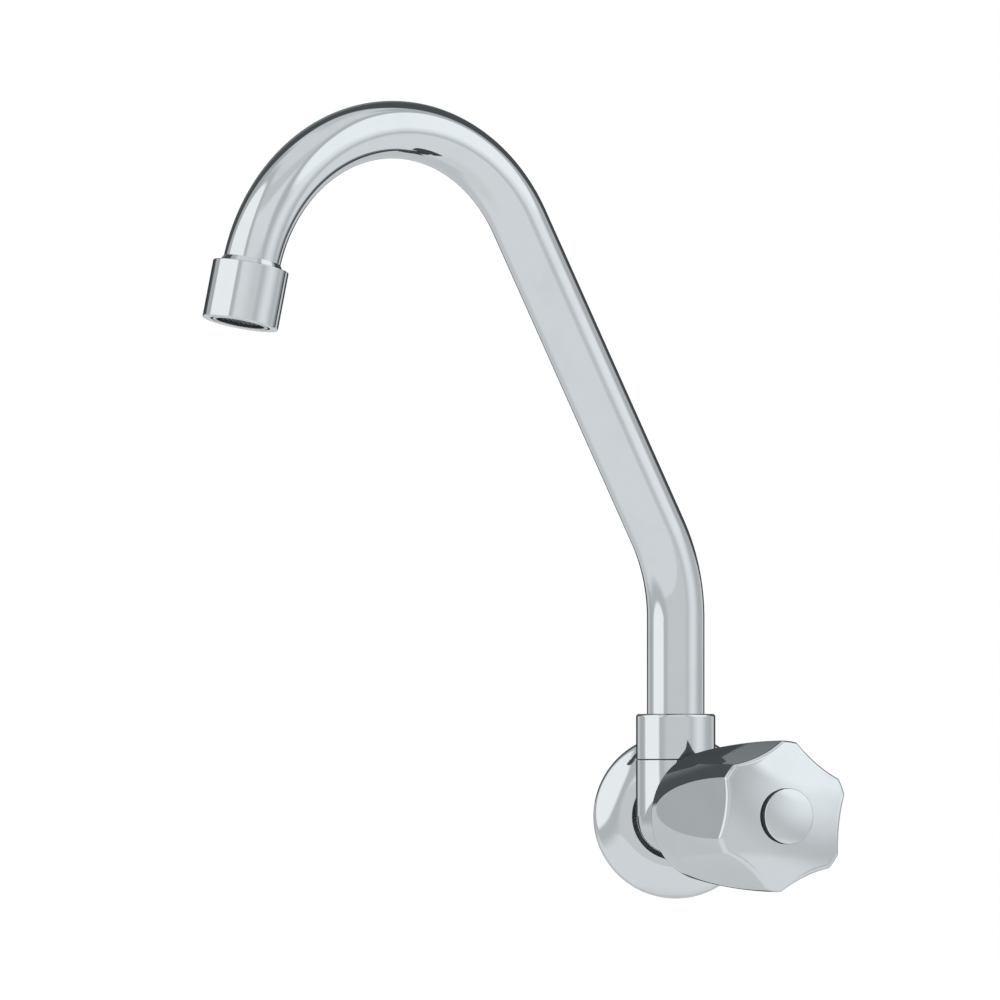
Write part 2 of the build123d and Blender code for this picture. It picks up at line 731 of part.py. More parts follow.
with BuildPart() as aerator_housing:
    with BuildSketch(outlet_section):
        with BuildLine():
            Polyline(
                (thread_bore_radius, 0),
                (housing_radius, 0),
                (housing_radius, housing_length),
                (housing_lip_radius, housing_length),
                (housing_lip_radius, lip_start),
                (housing_bore_radius, lip_start),
                (housing_bore_radius, cage_start),
                (thread_bore_radius, cage_start),
                close=True,
            )
        make_face()
    revolve(axis=outlet_axis)
    rims = aerator_housing.edges().filter_by(GeomType.CIRCLE).group_by(outlet_axis)
    fillet(rims[0].sort_by(SortBy.RADIUS)[-1], housing_shoulder_round)
    chamfer(rims[-1].sort_by(SortBy.RADIUS)[-1], housing_chamfer)
aerator_housing.part.label = "aerator_housing"

with BuildPart() as aerator_gasket:
    with BuildSketch(outlet_plane.offset(gasket_start)):
        Circle(sleeve_thread_radius)
        Circle(sleeve_stop_radius, mode=Mode.SUBTRACT)
    extrude(amount=aerator_gasket_thickness)
aerator_gasket.part.label = "aerator_gasket"

with BuildPart() as aerator_cage:
    with BuildSketch(outlet_section):
        with BuildLine():
            Polyline(
                (diffuser_radius + seat_fit, cage_start),
                (cage_radius, cage_start),
                (cage_radius, lip_start - seat_fit),
                (housing_lip_radius - cage_slot, lip_start - seat_fit),
                (housing_lip_radius - cage_slot, cage_end),
                (cage_lip_radius, cage_end),
                (cage_lip_radius, ledge_start),
                (screen_radius + seat_fit, ledge_start),
                (screen_radius + seat_fit, diffuser_seat),
                (diffuser_radius + seat_fit, diffuser_seat),
                close=True,
            )
        make_face()
    revolve(axis=outlet_axis)
aerator_cage.part.label = "aerator_cage"

with BuildPart() as aerator_diffuser:
    with BuildSketch(outlet_plane.offset(diffuser_seat - diffuser_thickness - seat_fit)):
        Circle(diffuser_radius)
        with PolarLocations(diffuser_hole_circle, diffuser_holes):
            Circle(diffuser_hole_radius, mode=Mode.SUBTRACT)
    extrude(amount=diffuser_thickness)
aerator_diffuser.part.label = "aerator_diffuser"

screen_steps = int(screen_radius / screen_pitch)
screen_places = [
    (column * screen_pitch, row * screen_pitch)
    for column in range(-screen_steps, screen_steps + 1)
    for row in range(-screen_steps, screen_steps + 1)
    if hypot(column, row) * screen_pitch + screen_hole < cage_lip_radius
]

with BuildPart() as aerator_screen:
    with BuildSketch(outlet_plane.offset(screen_start)):
        Circle(screen_radius)
        with Locations(*screen_places):
            Rectangle(screen_hole, screen_hole, mode=Mode.SUBTRACT)
    extrude(amount=screen_thickness)
aerator_screen.part.label = "aerator_screen"

# ---------------------------------------------------------------------------------------------------
# One file for each piece
# ---------------------------------------------------------------------------------------------------

pieces = [
    body, valve_seat, wall_flange, flange_gasket, valve_bonnet, bonnet_washer, spout_nut,
    valve_stem, stem_o_rings, stem_circlip, handle, handle_screw, handle_cap,
    valve_plunger, seat_washer, washer_screw,
    spout_tube, spout_bush, spout_o_rings, slip_washer,
    outlet_sleeve, aerator_housing, aerator_gasket, aerator_cage, aerator_diffuser, aerator_screen,
]
for piece in pieces:
    export_step(piece.part, f"parts/{piece.part.label}.step")

outlet_lean = degrees(atan2(hypot(outlet_direction.X, outlet_direction.Y), -outlet_direction.Z))
print(f"outlet at {tuple(round(value, 2) for value in outlet_foot)}, {outlet_lean:.1f} degrees from upright")
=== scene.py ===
"""Wall faucet: the finished surfaces, finishes, studio and camera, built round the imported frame.

Sizes are millimetres and degrees until a mesh or an object is made, which is where they become metres.
The frame has its origin in the wall, +Y into the wall, +Z up and +X to the right of someone at the tap.
"""

import json
import logging
import math
from collections.abc import Callable, Mapping, Sequence
from dataclasses import dataclass
from enum import Enum

import bpy
import numpy as np
from mathutils import Matrix, Vector


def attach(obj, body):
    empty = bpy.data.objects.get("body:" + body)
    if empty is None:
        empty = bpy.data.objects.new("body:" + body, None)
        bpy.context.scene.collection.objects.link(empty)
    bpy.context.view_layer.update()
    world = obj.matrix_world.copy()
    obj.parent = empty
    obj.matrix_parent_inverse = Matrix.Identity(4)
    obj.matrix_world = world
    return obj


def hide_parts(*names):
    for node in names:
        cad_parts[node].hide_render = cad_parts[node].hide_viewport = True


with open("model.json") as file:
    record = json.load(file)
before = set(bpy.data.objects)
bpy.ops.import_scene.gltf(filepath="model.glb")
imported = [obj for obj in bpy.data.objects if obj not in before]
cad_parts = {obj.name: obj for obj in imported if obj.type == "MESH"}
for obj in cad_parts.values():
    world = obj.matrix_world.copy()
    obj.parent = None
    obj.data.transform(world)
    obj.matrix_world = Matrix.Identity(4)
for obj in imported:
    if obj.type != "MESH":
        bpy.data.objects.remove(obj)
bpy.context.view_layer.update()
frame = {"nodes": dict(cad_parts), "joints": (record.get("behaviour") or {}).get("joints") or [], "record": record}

MM = 0.001
HOLD = 0.04  # mm, from a round to the extra ring that keeps the shading flat beside it
ON_AXIS = 1e-6  # mm, the radius below which a point counts as on the axis
SHARP_ANGLE = 38.0  # degrees, past which two faces meet in an edge

log = logging.getLogger("faucet")

Array = np.ndarray
Faces = list[Array]
Surface = tuple[Array, Faces]
Placing = Callable[[Array, Array, Array], Array]


# ------------------------------------------------------------------------------------------------
# Places
# ------------------------------------------------------------------------------------------------


def unit(vector: Sequence[float]) -> Array:
    """The vector at a length of one."""
    vector = np.asarray(vector, float)
    return vector / np.linalg.norm(vector)


@dataclass(frozen=True)
class Axes:
    """The axis that a piece is turned about.

    Attributes:
        foot: Where heights start, in mm.
        along: Direction of the axis.
        side: Direction at right angles to it, where angles start.
    """

    foot: Array
    along: Array
    side: Array

    @property
    def third(self) -> Array:
        """Direction at right angles to the other two."""
        return np.cross(self.along, self.side)

    def place(self, radius: Array, angle: Array, height: Array) -> Array:
        """Points in the frame: the foot, the height along the axis and the radius along a turned spoke.

        Args:
            radius: Distance of each point from the axis, in mm.
            angle: Its angle round the axis, in radians.
            height: Its height along the axis, in mm.

        Returns:
            The points, in mm.
        """
        radius, angle, height = (value[..., None] for value in np.broadcast_arrays(radius, angle, height))
        spoke = np.cos(angle) * self.side + np.sin(angle) * self.third
        return self.foot + height * self.along + radius * spoke

    def mapping(self) -> dict[str, tuple[float, float, float]]:
        """Place and turn that a Mapping node undoes, so that a pattern has this axis as its Z."""
        turn = Matrix((self.side, self.third, self.along)).transposed().to_euler()
        return {"Location": tuple(self.foot * MM), "Rotation": tuple(turn)}


def joint_axes(name: str, side: Sequence[float]) -> Axes:
    """Axes of a joint of the frame.

    Args:
        name: The joint's name in the record.
        side: Where angles start.

    Returns:
        Its axes, with their foot at the joint's own place.
    """
    joint = next(joint for joint in frame["joints"] if joint["name"] == name)
    along = unit(joint["axis"])
    side = np.asarray(side, float)
    return Axes(np.array(joint["pos_m"]) / MM, along, unit(side - (side @ along) * along))


def mount(name: str) -> dict:
    """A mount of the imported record."""
    return next(mount for mount in frame["record"]["mounts"] if mount["name"] == name)


# ------------------------------------------------------------------------------------------------
# Outlines and surfaces
# ------------------------------------------------------------------------------------------------


def arc(centre: Sequence[float], radius: float, start: float, end: float, steps: int) -> Array:
    """Points of a circle, from one angle in degrees to another."""
    angle = np.radians(np.linspace(start, end, steps + 1))
    return np.column_stack((centre[0] + radius * np.cos(angle), centre[1] + radius * np.sin(angle)))


def rounded(corners: Sequence[tuple[float, float, float]], closed: bool = True, steps: int = 6) -> Array:
    """Outline of straight runs whose corners are rounded.

    Each corner gives way to the arc that touches both of its runs: its centre lies on the line that
    halves the corner, at radius / sin(half the corner), and it starts at radius / tan(half the corner)
    along each run. A hold point stands just outside each end of the arc.

    Args:
        corners: Radius from the axis, height and rounding radius of each corner. A radius of 0 is sharp.
        closed: Whether the last corner joins the first.
        steps: Segments of each arc.

    Returns:
        The outline's points.
    """
    places = np.array([corner[:2] for corner in corners], float)
    points: list[Array] = []
    for index, (x, y, radius) in enumerate(corners):
        ends = not closed and index in (0, len(corners) - 1)
        if radius <= 0 or ends:
            points.append(np.array([[x, y]]))
            continue
        here = places[index]
        before = unit(places[index - 1] - here)
        after = unit(places[(index + 1) % len(places)] - here)
        half = math.acos(np.clip(before @ after, -1, 1)) / 2
        start = radius / math.tan(half)
        centre = here + unit(before + after) * radius / math.sin(half)
        turn = math.pi - 2 * half
        outward = here + before * start - centre
        onward = here + after * start - centre
        spin = np.sign(outward[0] * onward[1] - outward[1] * onward[0])
        angle = math.atan2(outward[1], outward[0]) + spin * np.linspace(0, turn, steps + 1)
        curve = centre + radius * np.column_stack((np.cos(angle), np.sin(angle)))
        points.append(np.vstack((here + before * (start + HOLD), curve, here + after * (start + HOLD))))
    return np.vstack(points)


def ring_quads(rows: int, columns: int, closed: bool) -> Array:
    """Quads of a grid whose rows are rings.

    Args:
        rows: Number of rings.
        columns: Corners of each ring.
        closed: Whether the last ring joins the first.

    Returns:
        The four corner numbers of each quad.
    """
    here = np.arange(rows if closed else rows - 1)[:, None] * columns
    after = (here + columns) % (rows * columns)
    column = np.arange(columns)[None, :]
    beside = (column + 1) % columns
    return np.stack((here + column, here + beside, after + beside, after + column), axis=-1).reshape(-1, 4)


def carried(outline: Array, place: Placing, columns: int) -> Surface:
    """Surface of an outline that is carried round an axis or a curved spine.

    The grid's two parameters are the place along the outline and the angle round the axis. Each
    outline point gives one ring. Where the outline starts and ends on the axis, its two poles are
    single corners that fans of triangles close, and otherwise its last ring joins its first.

    Args:
        outline: Radius and height of each point.
        place: Turns radius, angle and height into points.
        columns: Corners of each ring.

    Returns:
        The corners, and the faces as arrays of corner numbers.
    """
    angle = np.linspace(0, 2 * np.pi, columns, endpoint=False)
    poles = outline[0, 0] < ON_AXIS and outline[-1, 0] < ON_AXIS
    body = outline[1:-1] if poles else outline
    points = place(body[:, :1], angle[None, :], body[:, 1:]).reshape(-1, 3)
    faces: Faces = [ring_quads(len(body), columns, closed=not poles)]
    if poles:
        ends = place(outline[[0, -1], 0], np.zeros(2), outline[[0, -1], 1])
        first = np.arange(columns)
        last = first + (len(body) - 1) * columns
        start, stop = len(points), len(points) + 1
        points = np.vstack((points, ends))
        faces.append(np.column_stack((np.full(columns, start), np.roll(first, -1), first)))
        faces.append(np.column_stack((np.full(columns, stop), last, np.roll(last, -1))))
    return points, faces


def merge(parts: Sequence[Surface]) -> Surface:
    """Several closed surfaces as one.

    Args:
        parts: The corners and faces of each.

    Returns:
        All the corners, and all the faces with their corner numbers moved up.
    """
    start, points, faces = 0, [], []
    for part_points, part_faces in parts:
        faces += [part + start for part in part_faces]
        points.append(part_points)
        start += len(part_points)
    return np.vstack(points), faces


def outwards(points: Array, faces: Faces) -> Faces:
    """Faces turned so that they point outwards.

    A closed surface encloses a sixth of the sum of its triangles' triple products, a . (b x c), and
    the sum is negative where the faces point inwards.

    Args:
        points: Corners.
        faces: Faces, all turned the same way.

    Returns:
        The faces, turned over where they pointed inwards.
    """
    triangles = np.vstack([part[:, [0, i, i + 1]] for part in faces for i in range(1, part.shape[1] - 1)])
    a, b, c = (points[triangles[:, i]] for i in range(3))
    return faces if np.sum(a * np.cross(b, c)) > 0 else [part[:, ::-1] for part in faces]


# ------------------------------------------------------------------------------------------------
# Pieces
# ------------------------------------------------------------------------------------------------


class Body(Enum):
    """Bodies of the frame that a piece rides on."""

    TAP = "tap_body"
    HANDLE = "handle"
    SPOUT = "spout"


class Slot(Enum):
    """Material slots of the record, one named for each new piece."""

    CHROME = "chrome_plate"
    ACETAL = "white_acetal"
    BLACK_ACETAL = "black_acetal"
    STEEL = "stainless_steel"


def add_piece(
    name: str, surface: Surface, body: Body, node: str, slot: Slot, finish: bpy.types.Material
) -> bpy.types.Object:
    """Makes a mesh object from a surface in mm and ties it to the frame.

    Args:
        name: The object's name.
        surface: Corners in mm and faces.
        body: The body that it rides on.
        node: The CAD node that it stands for.
        slot: The record's slot that its finish belongs to; not used.
        finish: Its material.

    Returns:
        The object.
    """
    points, faces = surface
    faces = outwards(points, faces)
    corners = np.concatenate([part.ravel() for part in faces])
    sizes = np.concatenate([np.full(len(part), part.shape[1]) for part in faces])
    mesh = bpy.data.meshes.new(name)
    mesh.vertices.add(len(points))
    mesh.vertices.foreach_set("co", (points * MM).astype(np.float32).ravel())
    mesh.loops.add(len(corners))
    mesh.loops.foreach_set("vertex_index", corners.astype(np.int32))
    mesh.polygons.add(len(sizes))
    mesh.polygons.foreach_set("loop_start", (np.cumsum(sizes) - sizes).astype(np.int32))
    mesh.update(calc_edges=True)
    mesh.shade_smooth()
    mesh.set_sharp_from_angle(angle=math.radians(SHARP_ANGLE))
    mesh.materials.append(finish)
    piece = bpy.data.objects.new(name, mesh)
    bpy.context.scene.collection.objects.link(piece)
    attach(piece, body.value)
    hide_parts(node)
    log.info("%s: %d faces, stands for %s", name, len(sizes), node)
    return piece


# ------------------------------------------------------------------------------------------------
# Finishes
# ------------------------------------------------------------------------------------------------


def linear(hex_color: str) -> tuple[float, float, float, float]:
    """Linear colour of an sRGB hex value such as "c8ccce"."""
    channels = [int(hex_color[i : i + 2], 16) / 255 for i in (0, 2, 4)]
    return (*(c / 12.92 if c <= 0.04045 else ((c + 0.055) / 1.055) ** 2.4 for c in channels), 1.0)


def add_node(
    tree: bpy.types.NodeTree, kind: str, inputs: Mapping[str | int, object] | None = None, **settings: object
) -> bpy.types.Node:
    """Adds a node with its settings and links.

    Args:
        tree: The tree that gets the node.
        kind: Its type, without Blender's ShaderNode prefix.
        inputs: A value, or an output to link, for each input by name or number.
        settings: Values of the node's own properties.

    Returns:
        The node.
    """
    node = tree.nodes.new("ShaderNode" + kind)
    for name, value in settings.items():
        setattr(node, name, value)
    for key, value in (inputs or {}).items():
        if isinstance(value, bpy.types.NodeSocket):
            tree.links.new(value, node.inputs[key])
        else:
            node.inputs[key].default_value = value
    return node


def new_material(name: str) -> tuple[bpy.types.Material, bpy.types.NodeTree, bpy.types.NodeSocket]:
    """An empty material.

    Args:
        name: Its name.

    Returns:
        The material, its tree, and the input that its shader goes to.
    """
    material = bpy.data.materials.new(name)
    material.use_nodes = True
    tree = material.node_tree
    tree.nodes.clear()
    output = add_node(tree, "OutputMaterial")
    return material, tree, output.inputs["Surface"]


def per_metre(size: float) -> float:
    """Noise scale whose features are size mm wide, on Object coordinates in metres."""
    return 1 / (size * MM)


WAVE_PERIOD = math.pi / 10  # distance from ring to ring of a wave texture at a scale of 1


@dataclass(frozen=True)
class ChromePlate:
    """Bright chromium plated over polished brass.

    The plate mirrors the room with a faintly cool tint. Buffing leaves it a little clearer in some
    places than in others, and handling leaves thin smears that only soften the mirror.
    """

    color: str = "e3e5e6"
    color_smear: str = "dddfe0"
    roughness: float = 0.045
    roughness_smear: float = 0.085
    smear_size: float = 14.0  # mm
    smear_share: tuple[float, float] = (0.48, 0.72)  # the noise at which a smear starts and is full
    buff_size: float = 0.35  # mm, much coarser than real buffing marks so that it shows
    peel_size: float = 1.6  # mm, the slight waviness of a buffed casting
    peel_depth: float = 0.0004  # mm
    peel_strength: float = 0.35

    def material(self) -> bpy.types.Material:
        """The chrome material.

        Returns:
            A mirror whose roughness and tint follow a soft noise times a fine one.
        """
        material, tree, surface = new_material("polished_chrome_plate")
        place = add_node(tree, "TexCoord").outputs["Object"]
        soft = {"Vector": place, "Scale": per_metre(self.smear_size), "Detail": 4.0, "Roughness": 0.6}
        smear = add_node(tree, "TexNoise", soft)
        fine = {"Vector": place, "Scale": per_metre(self.buff_size), "Detail": 2.0}
        buff = add_node(tree, "TexNoise", fine)
        limits = dict(zip(("From Min", "From Max"), self.smear_share))
        amount = add_node(
            tree, "MapRange", {"Value": smear.outputs["Fac"], **limits}, interpolation_type="SMOOTHSTEP"
        )
        factors = {0: amount.outputs["Result"], 1: buff.outputs["Fac"]}
        grain = add_node(tree, "Math", factors, operation="MULTIPLY").outputs[0]
        rough = add_node(
            tree, "MapRange", {"Value": grain, "To Min": self.roughness, "To Max": self.roughness_smear}
        )
        tints = {"A": linear(self.color), "B": linear(self.color_smear)}
        color = add_node(tree, "Mix", {"Factor": grain, **tints}, data_type="RGBA")
        wavy = {"Vector": place, "Scale": per_metre(self.peel_size), "Detail": 1.0}
        peel = add_node(tree, "TexNoise", wavy)
        relief = {"Strength": self.peel_strength, "Distance": self.peel_depth * MM}
        bump = add_node(tree, "Bump", {"Height": peel.outputs["Fac"], **relief})
        shader = add_node(
            tree,
            "BsdfPrincipled",
            {
                "Base Color": color.outputs["Result"],
                "Metallic": 1.0,
                "Roughness": rough.outputs["Result"],
                "Normal": bump.outputs["Normal"],
            },
        )
        tree.links.new(shader.outputs[0], surface)
        return material


@dataclass(frozen=True)
class Metal:
    """A plain metal with the marks of the tool that made it.

    Turned brass is warm, with rings round the turning axis and duller patches where it has been
    handled. Pickled stainless steel is grey and even, with such rings, and so is the screen's wire,
    whose darker grey is painted shade for the unlit inside of the aerator.

    Attributes:
        name: Real metal and how its surface was made.
        color: Its colour where it is bright.
        color_dull: Its colour in duller patches.
        roughness: Roughness where it is bright.
        roughness_dull: Roughness in duller patches.
        axes: Axis that the rings go round.
        patch_size: Size of the patches, in mm.
        patch_share: The noise at which a dull patch starts and is full.
        ring_spacing: From ring to ring, in mm, far coarser than real feed marks so that it shows.
        ring_depth: Depth of the rings, in mm.
        ring_strength: Share of that depth that shows.
    """

    name: str
    color: str
    color_dull: str
    roughness: float
    roughness_dull: float
    axes: Axes
    patch_size: float = 4.0
    patch_share: tuple[float, float] = (0.4, 0.7)
    ring_spacing: float = 1.885
    ring_depth: float = 0.01
    ring_strength: float = 0.4

    def material(self) -> bpy.types.Material:
        """The metal's material.

        Returns:
            A metal with patches in its colour and roughness, and rings about its axis in its bump.
        """
        material, tree, surface = new_material(self.name)
        place = add_node(tree, "TexCoord").outputs["Object"]
        local = add_node(tree, "Mapping", {"Vector": place, **self.axes.mapping()}, vector_type="TEXTURE")
        soft = {"Vector": place, "Scale": per_metre(self.patch_size), "Detail": 5.0, "Roughness": 0.65}
        patch = add_node(tree, "TexNoise", soft)
        limits = dict(zip(("From Min", "From Max"), self.patch_share))
        fade = add_node(
            tree, "MapRange", {"Value": patch.outputs["Fac"], **limits}, interpolation_type="SMOOTHSTEP"
        )
        dull = fade.outputs["Result"]
        ring = add_node(
            tree,
            "TexWave",
            {
                "Vector": local.outputs[0],
                "Scale": per_metre(self.ring_spacing) * WAVE_PERIOD,
                "Distortion": 1.5,
                "Detail": 2.0,
                "Detail Scale": 2.0,
            },
            wave_type="RINGS",
            rings_direction="Z",
        )
        tints = {"A": linear(self.color), "B": linear(self.color_dull)}
        color = add_node(tree, "Mix", {"Factor": dull, **tints}, data_type="RGBA")
        rough = add_node(
            tree, "MapRange", {"Value": dull, "To Min": self.roughness, "To Max": self.roughness_dull}
        )
        relief = {"Strength": self.ring_strength, "Distance": self.ring_depth * MM}
        bump = add_node(tree, "Bump", {"Height": ring.outputs["Fac"], **relief})
        shader = add_node(
            tree,
            "BsdfPrincipled",
            {
                "Base Color": color.outputs["Result"],
                "Metallic": 1.0,
                "Roughness": rough.outputs["Result"],
                "Normal": bump.outputs["Normal"],
            },
        )
        tree.links.new(shader.outputs[0], surface)
        return material


@dataclass(frozen=True)
class Polymer:
    """A rubber, plastic or fibre with a colour that varies a little and a fine grain.

    Attributes:
        name: Real material and how its surface was made.
        color: Its colour.
        color_varied: The colour that it varies to.
        variation: Size of the patches of that colour, in mm.
        roughness: Roughness of its surface.
        ior: Index of refraction.
        grain: Size of its surface grain, in mm.
        grain_depth: Depth of that grain, in mm.
        contrast: Half-width of the change from one colour to the other, on a noise from 0 to 1.
        rough_spread: Share by which the grain lowers and raises the roughness.
        grain_strength: Share of the grain's depth that shows.
    """

    name: str
    color: str
    color_varied: str
    variation: float
    roughness: float
    ior: float
    grain: float
    grain_depth: float
    contrast: float = 0.2
    rough_spread: float = 0.15
    grain_strength: float = 0.6

    def material(self) -> bpy.types.Material:
        """The polymer's material.

        Returns:
            A dielectric with soft patches in its colour, and a grain in its roughness and bump.
        """
        material, tree, surface = new_material(self.name)
        place = add_node(tree, "TexCoord").outputs["Object"]
        soft = {"Vector": place, "Scale": per_metre(self.variation), "Detail": 5.0, "Roughness": 0.6}
        patch = add_node(tree, "TexNoise", soft)
        limits = {"From Min": 0.5 - self.contrast, "From Max": 0.5 + self.contrast}
        varied = add_node(
            tree, "MapRange", {"Value": patch.outputs["Fac"], **limits}, interpolation_type="SMOOTHSTEP"
        )
        tints = {"A": linear(self.color), "B": linear(self.color_varied)}
        color = add_node(tree, "Mix", {"Factor": varied.outputs["Result"], **tints}, data_type="RGBA")
        grain = add_node(tree, "TexNoise", {"Vector": place, "Scale": per_metre(self.grain), "Detail": 3.0})
        smooth = self.roughness * (1 - self.rough_spread)
        coarse = min(1.0, self.roughness * (1 + self.rough_spread))
        rough = add_node(
            tree, "MapRange", {"Value": grain.outputs["Fac"], "To Min": smooth, "To Max": coarse}
        )
        relief = {"Strength": self.grain_strength, "Distance": self.grain_depth * MM}
        bump = add_node(tree, "Bump", {"Height": grain.outputs["Fac"], **relief})
        shader = add_node(
            tree,
            "BsdfPrincipled",
            {
                "Base Color": color.outputs["Result"],
                "Roughness": rough.outputs["Result"],
                "IOR": self.ior,
                "Normal": bump.outputs["Normal"],
            },
        )
        tree.links.new(shader.outputs[0], surface)
        return material


# Red vulcanised fibre is pressed cotton paper: matt, and mottled along its fibres.
VULCANISED_FIBRE = Polymer("pressed_vulcanised_fibre", "8c3a2a", "6f2a20", 1.2, 0.62, 1.5, 0.15, 0.02)
# Moulded nitrile rubber is near black with a soft sheen and a faint bloom.
NITRILE_RUBBER = Polymer("moulded_nitrile_rubber", "191a1b", "26282a", 2.5, 0.5, 1.52, 0.2, 0.01)
# Closed-cell foam rubber sheet shows its cut cells as a fine, dull grain. Its pale grey is painted light, which
# lifts the shade in the gap round the flange's hole.
FOAM_RUBBER = Polymer("closed_cell_foam_painted_light", "a5abad", "999fa1", 2.2, 0.9, 1.5, 0.6, 0.003, 0.3)
# Natural acetal is a waxy, slightly warm white.
ACETAL = Polymer("moulded_natural_acetal", "e4e3dd", "d9d8d2", 6.0, 0.36, 1.48, 0.5, 0.01)
# Black acetal has the same waxy sheen, which lifts it to a dark grey. Its black is painted shade on the cap's
# plug, the aerator's cage and its diffuser, where shade falls.
BLACK_ACETAL = Polymer("black_acetal_painted_shade", "484d4f", "3e4345", 6.0, 0.34, 1.48, 0.5, 0.01)


# ------------------------------------------------------------------------------------------------
# Pieces that are turned, bent or pressed
# ------------------------------------------------------------------------------------------------


@dataclass
class SpoutTube:
    """Bent spout tube: riser, lower bend, leaning run, hook and a short straight end.

    Its spine lies in an upright plane through the swivel axis. The heading of the spine is a
    piecewise linear function of the length along it, level on a straight run and rising evenly on a
    bend, and the spine's place is the running sum of the heading's sine and cosine.
    """

    swivel: Axes
    finish: bpy.types.Material
    radius: float = 9.0
    wall: float = 1.0
    foot: float = 30.13
    riser_top: float = 61.9
    lower_bend_radius: float = 57.0
    lean: float = 28.6
    lean_length: float = 110.0
    hook_radius: float = 55.3
    hook_turn: float = 138.3
    tail: float = 8.0
    end_round: float = 0.3
    bend_step: float = 1.2  # mm from ring to ring on a bend
    run_step: float = 6.0  # mm from ring to ring on a straight run
    end_margin: float = 1.0  # mm at each end, which only the ends' own rings take
    samples: int = 12001  # places of the running sum
    columns: int = 128

    def knots(self) -> tuple[Array, Array]:
        """Where the spine's bend changes.

        Returns:
            Lengths along the spine, and its heading at each, in radians.
        """
        turned_down = self.lean + self.hook_turn
        turned = np.radians([0, 0, self.lean, self.lean, turned_down, turned_down])
        runs = [
            0.0,
            self.riser_top - self.foot,
            self.lower_bend_radius * turned[2],
            self.lean_length,
            self.hook_radius * math.radians(self.hook_turn),
            self.tail,
        ]
        return np.cumsum(runs), turned

    def place(self, radius: Array, angle: Array, length: Array) -> Array:
        """Points round the spine.

        Args:
            radius: Distance of each point from the spine, in mm.
            angle: Its angle round the spine, in radians.
            length: Its length along the spine, in mm.

        Returns:
            The points, in mm.
        """
        lengths, headings = self.knots()
        fine = np.linspace(0, lengths[-1], self.samples)
        heading = np.interp((fine[1:] + fine[:-1]) / 2, lengths, headings)
        step = fine[1] - fine[0]
        reach = np.concatenate(([0.0], np.cumsum(np.sin(heading)) * step))
        rise = self.foot + np.concatenate(([0.0], np.cumsum(np.cos(heading)) * step))
        radius, angle, length = (value[..., None] for value in np.broadcast_arrays(radius, angle, length))
        turn = np.interp(length, lengths, headings)
        out, up = self.swivel.side, self.swivel.along
        centre = self.swivel.foot + np.interp(length, fine, reach) * out + np.interp(length, fine, rise) * up
        spoke = np.cos(angle) * (np.cos(turn) * out - np.sin(turn) * up) + np.sin(angle) * self.swivel.third
        return centre + radius * spoke

    def outline(self) -> Array:
        """The tube's rings, out along the skin and back along the bore.

        Returns:
            Radius of each ring, and its length along the spine.
        """
        lengths, headings = self.knots()
        steps = np.where(np.diff(headings) == 0, self.run_step, self.bend_step)
        rings = [
            np.linspace(start, stop, max(2, round((stop - start) / step) + 1))
            for start, stop, step in zip(lengths[:-1], lengths[1:], steps)
        ]
        length = np.unique(np.concatenate(rings))
        bore = self.radius - self.wall
        ends = rounded(
            [
                (self.radius, lengths[0], self.end_round),
                (self.radius, lengths[-1], self.end_round),
                (bore, lengths[-1], self.end_round),
                (bore, lengths[0], self.end_round),
            ],
            steps=4,
        )
        inside = (length > self.end_margin) & (length < lengths[-1] - self.end_margin)
        half = len(ends) // 4
        skin = np.column_stack((np.full(inside.sum(), self.radius), length[inside]))
        lining = np.column_stack((np.full(inside.sum(), bore), length[inside][::-1]))
        return np.vstack((ends[:half], skin, ends[half : 3 * half], lining, ends[3 * half :]))

    def build(self) -> bpy.types.Object:
        """Makes the tube."""
        surface = carried(self.outline(), self.place, self.columns)
        return add_piece("spout_tube_skin", surface, Body.SPOUT, "spout_tube", Slot.CHROME, self.finish)


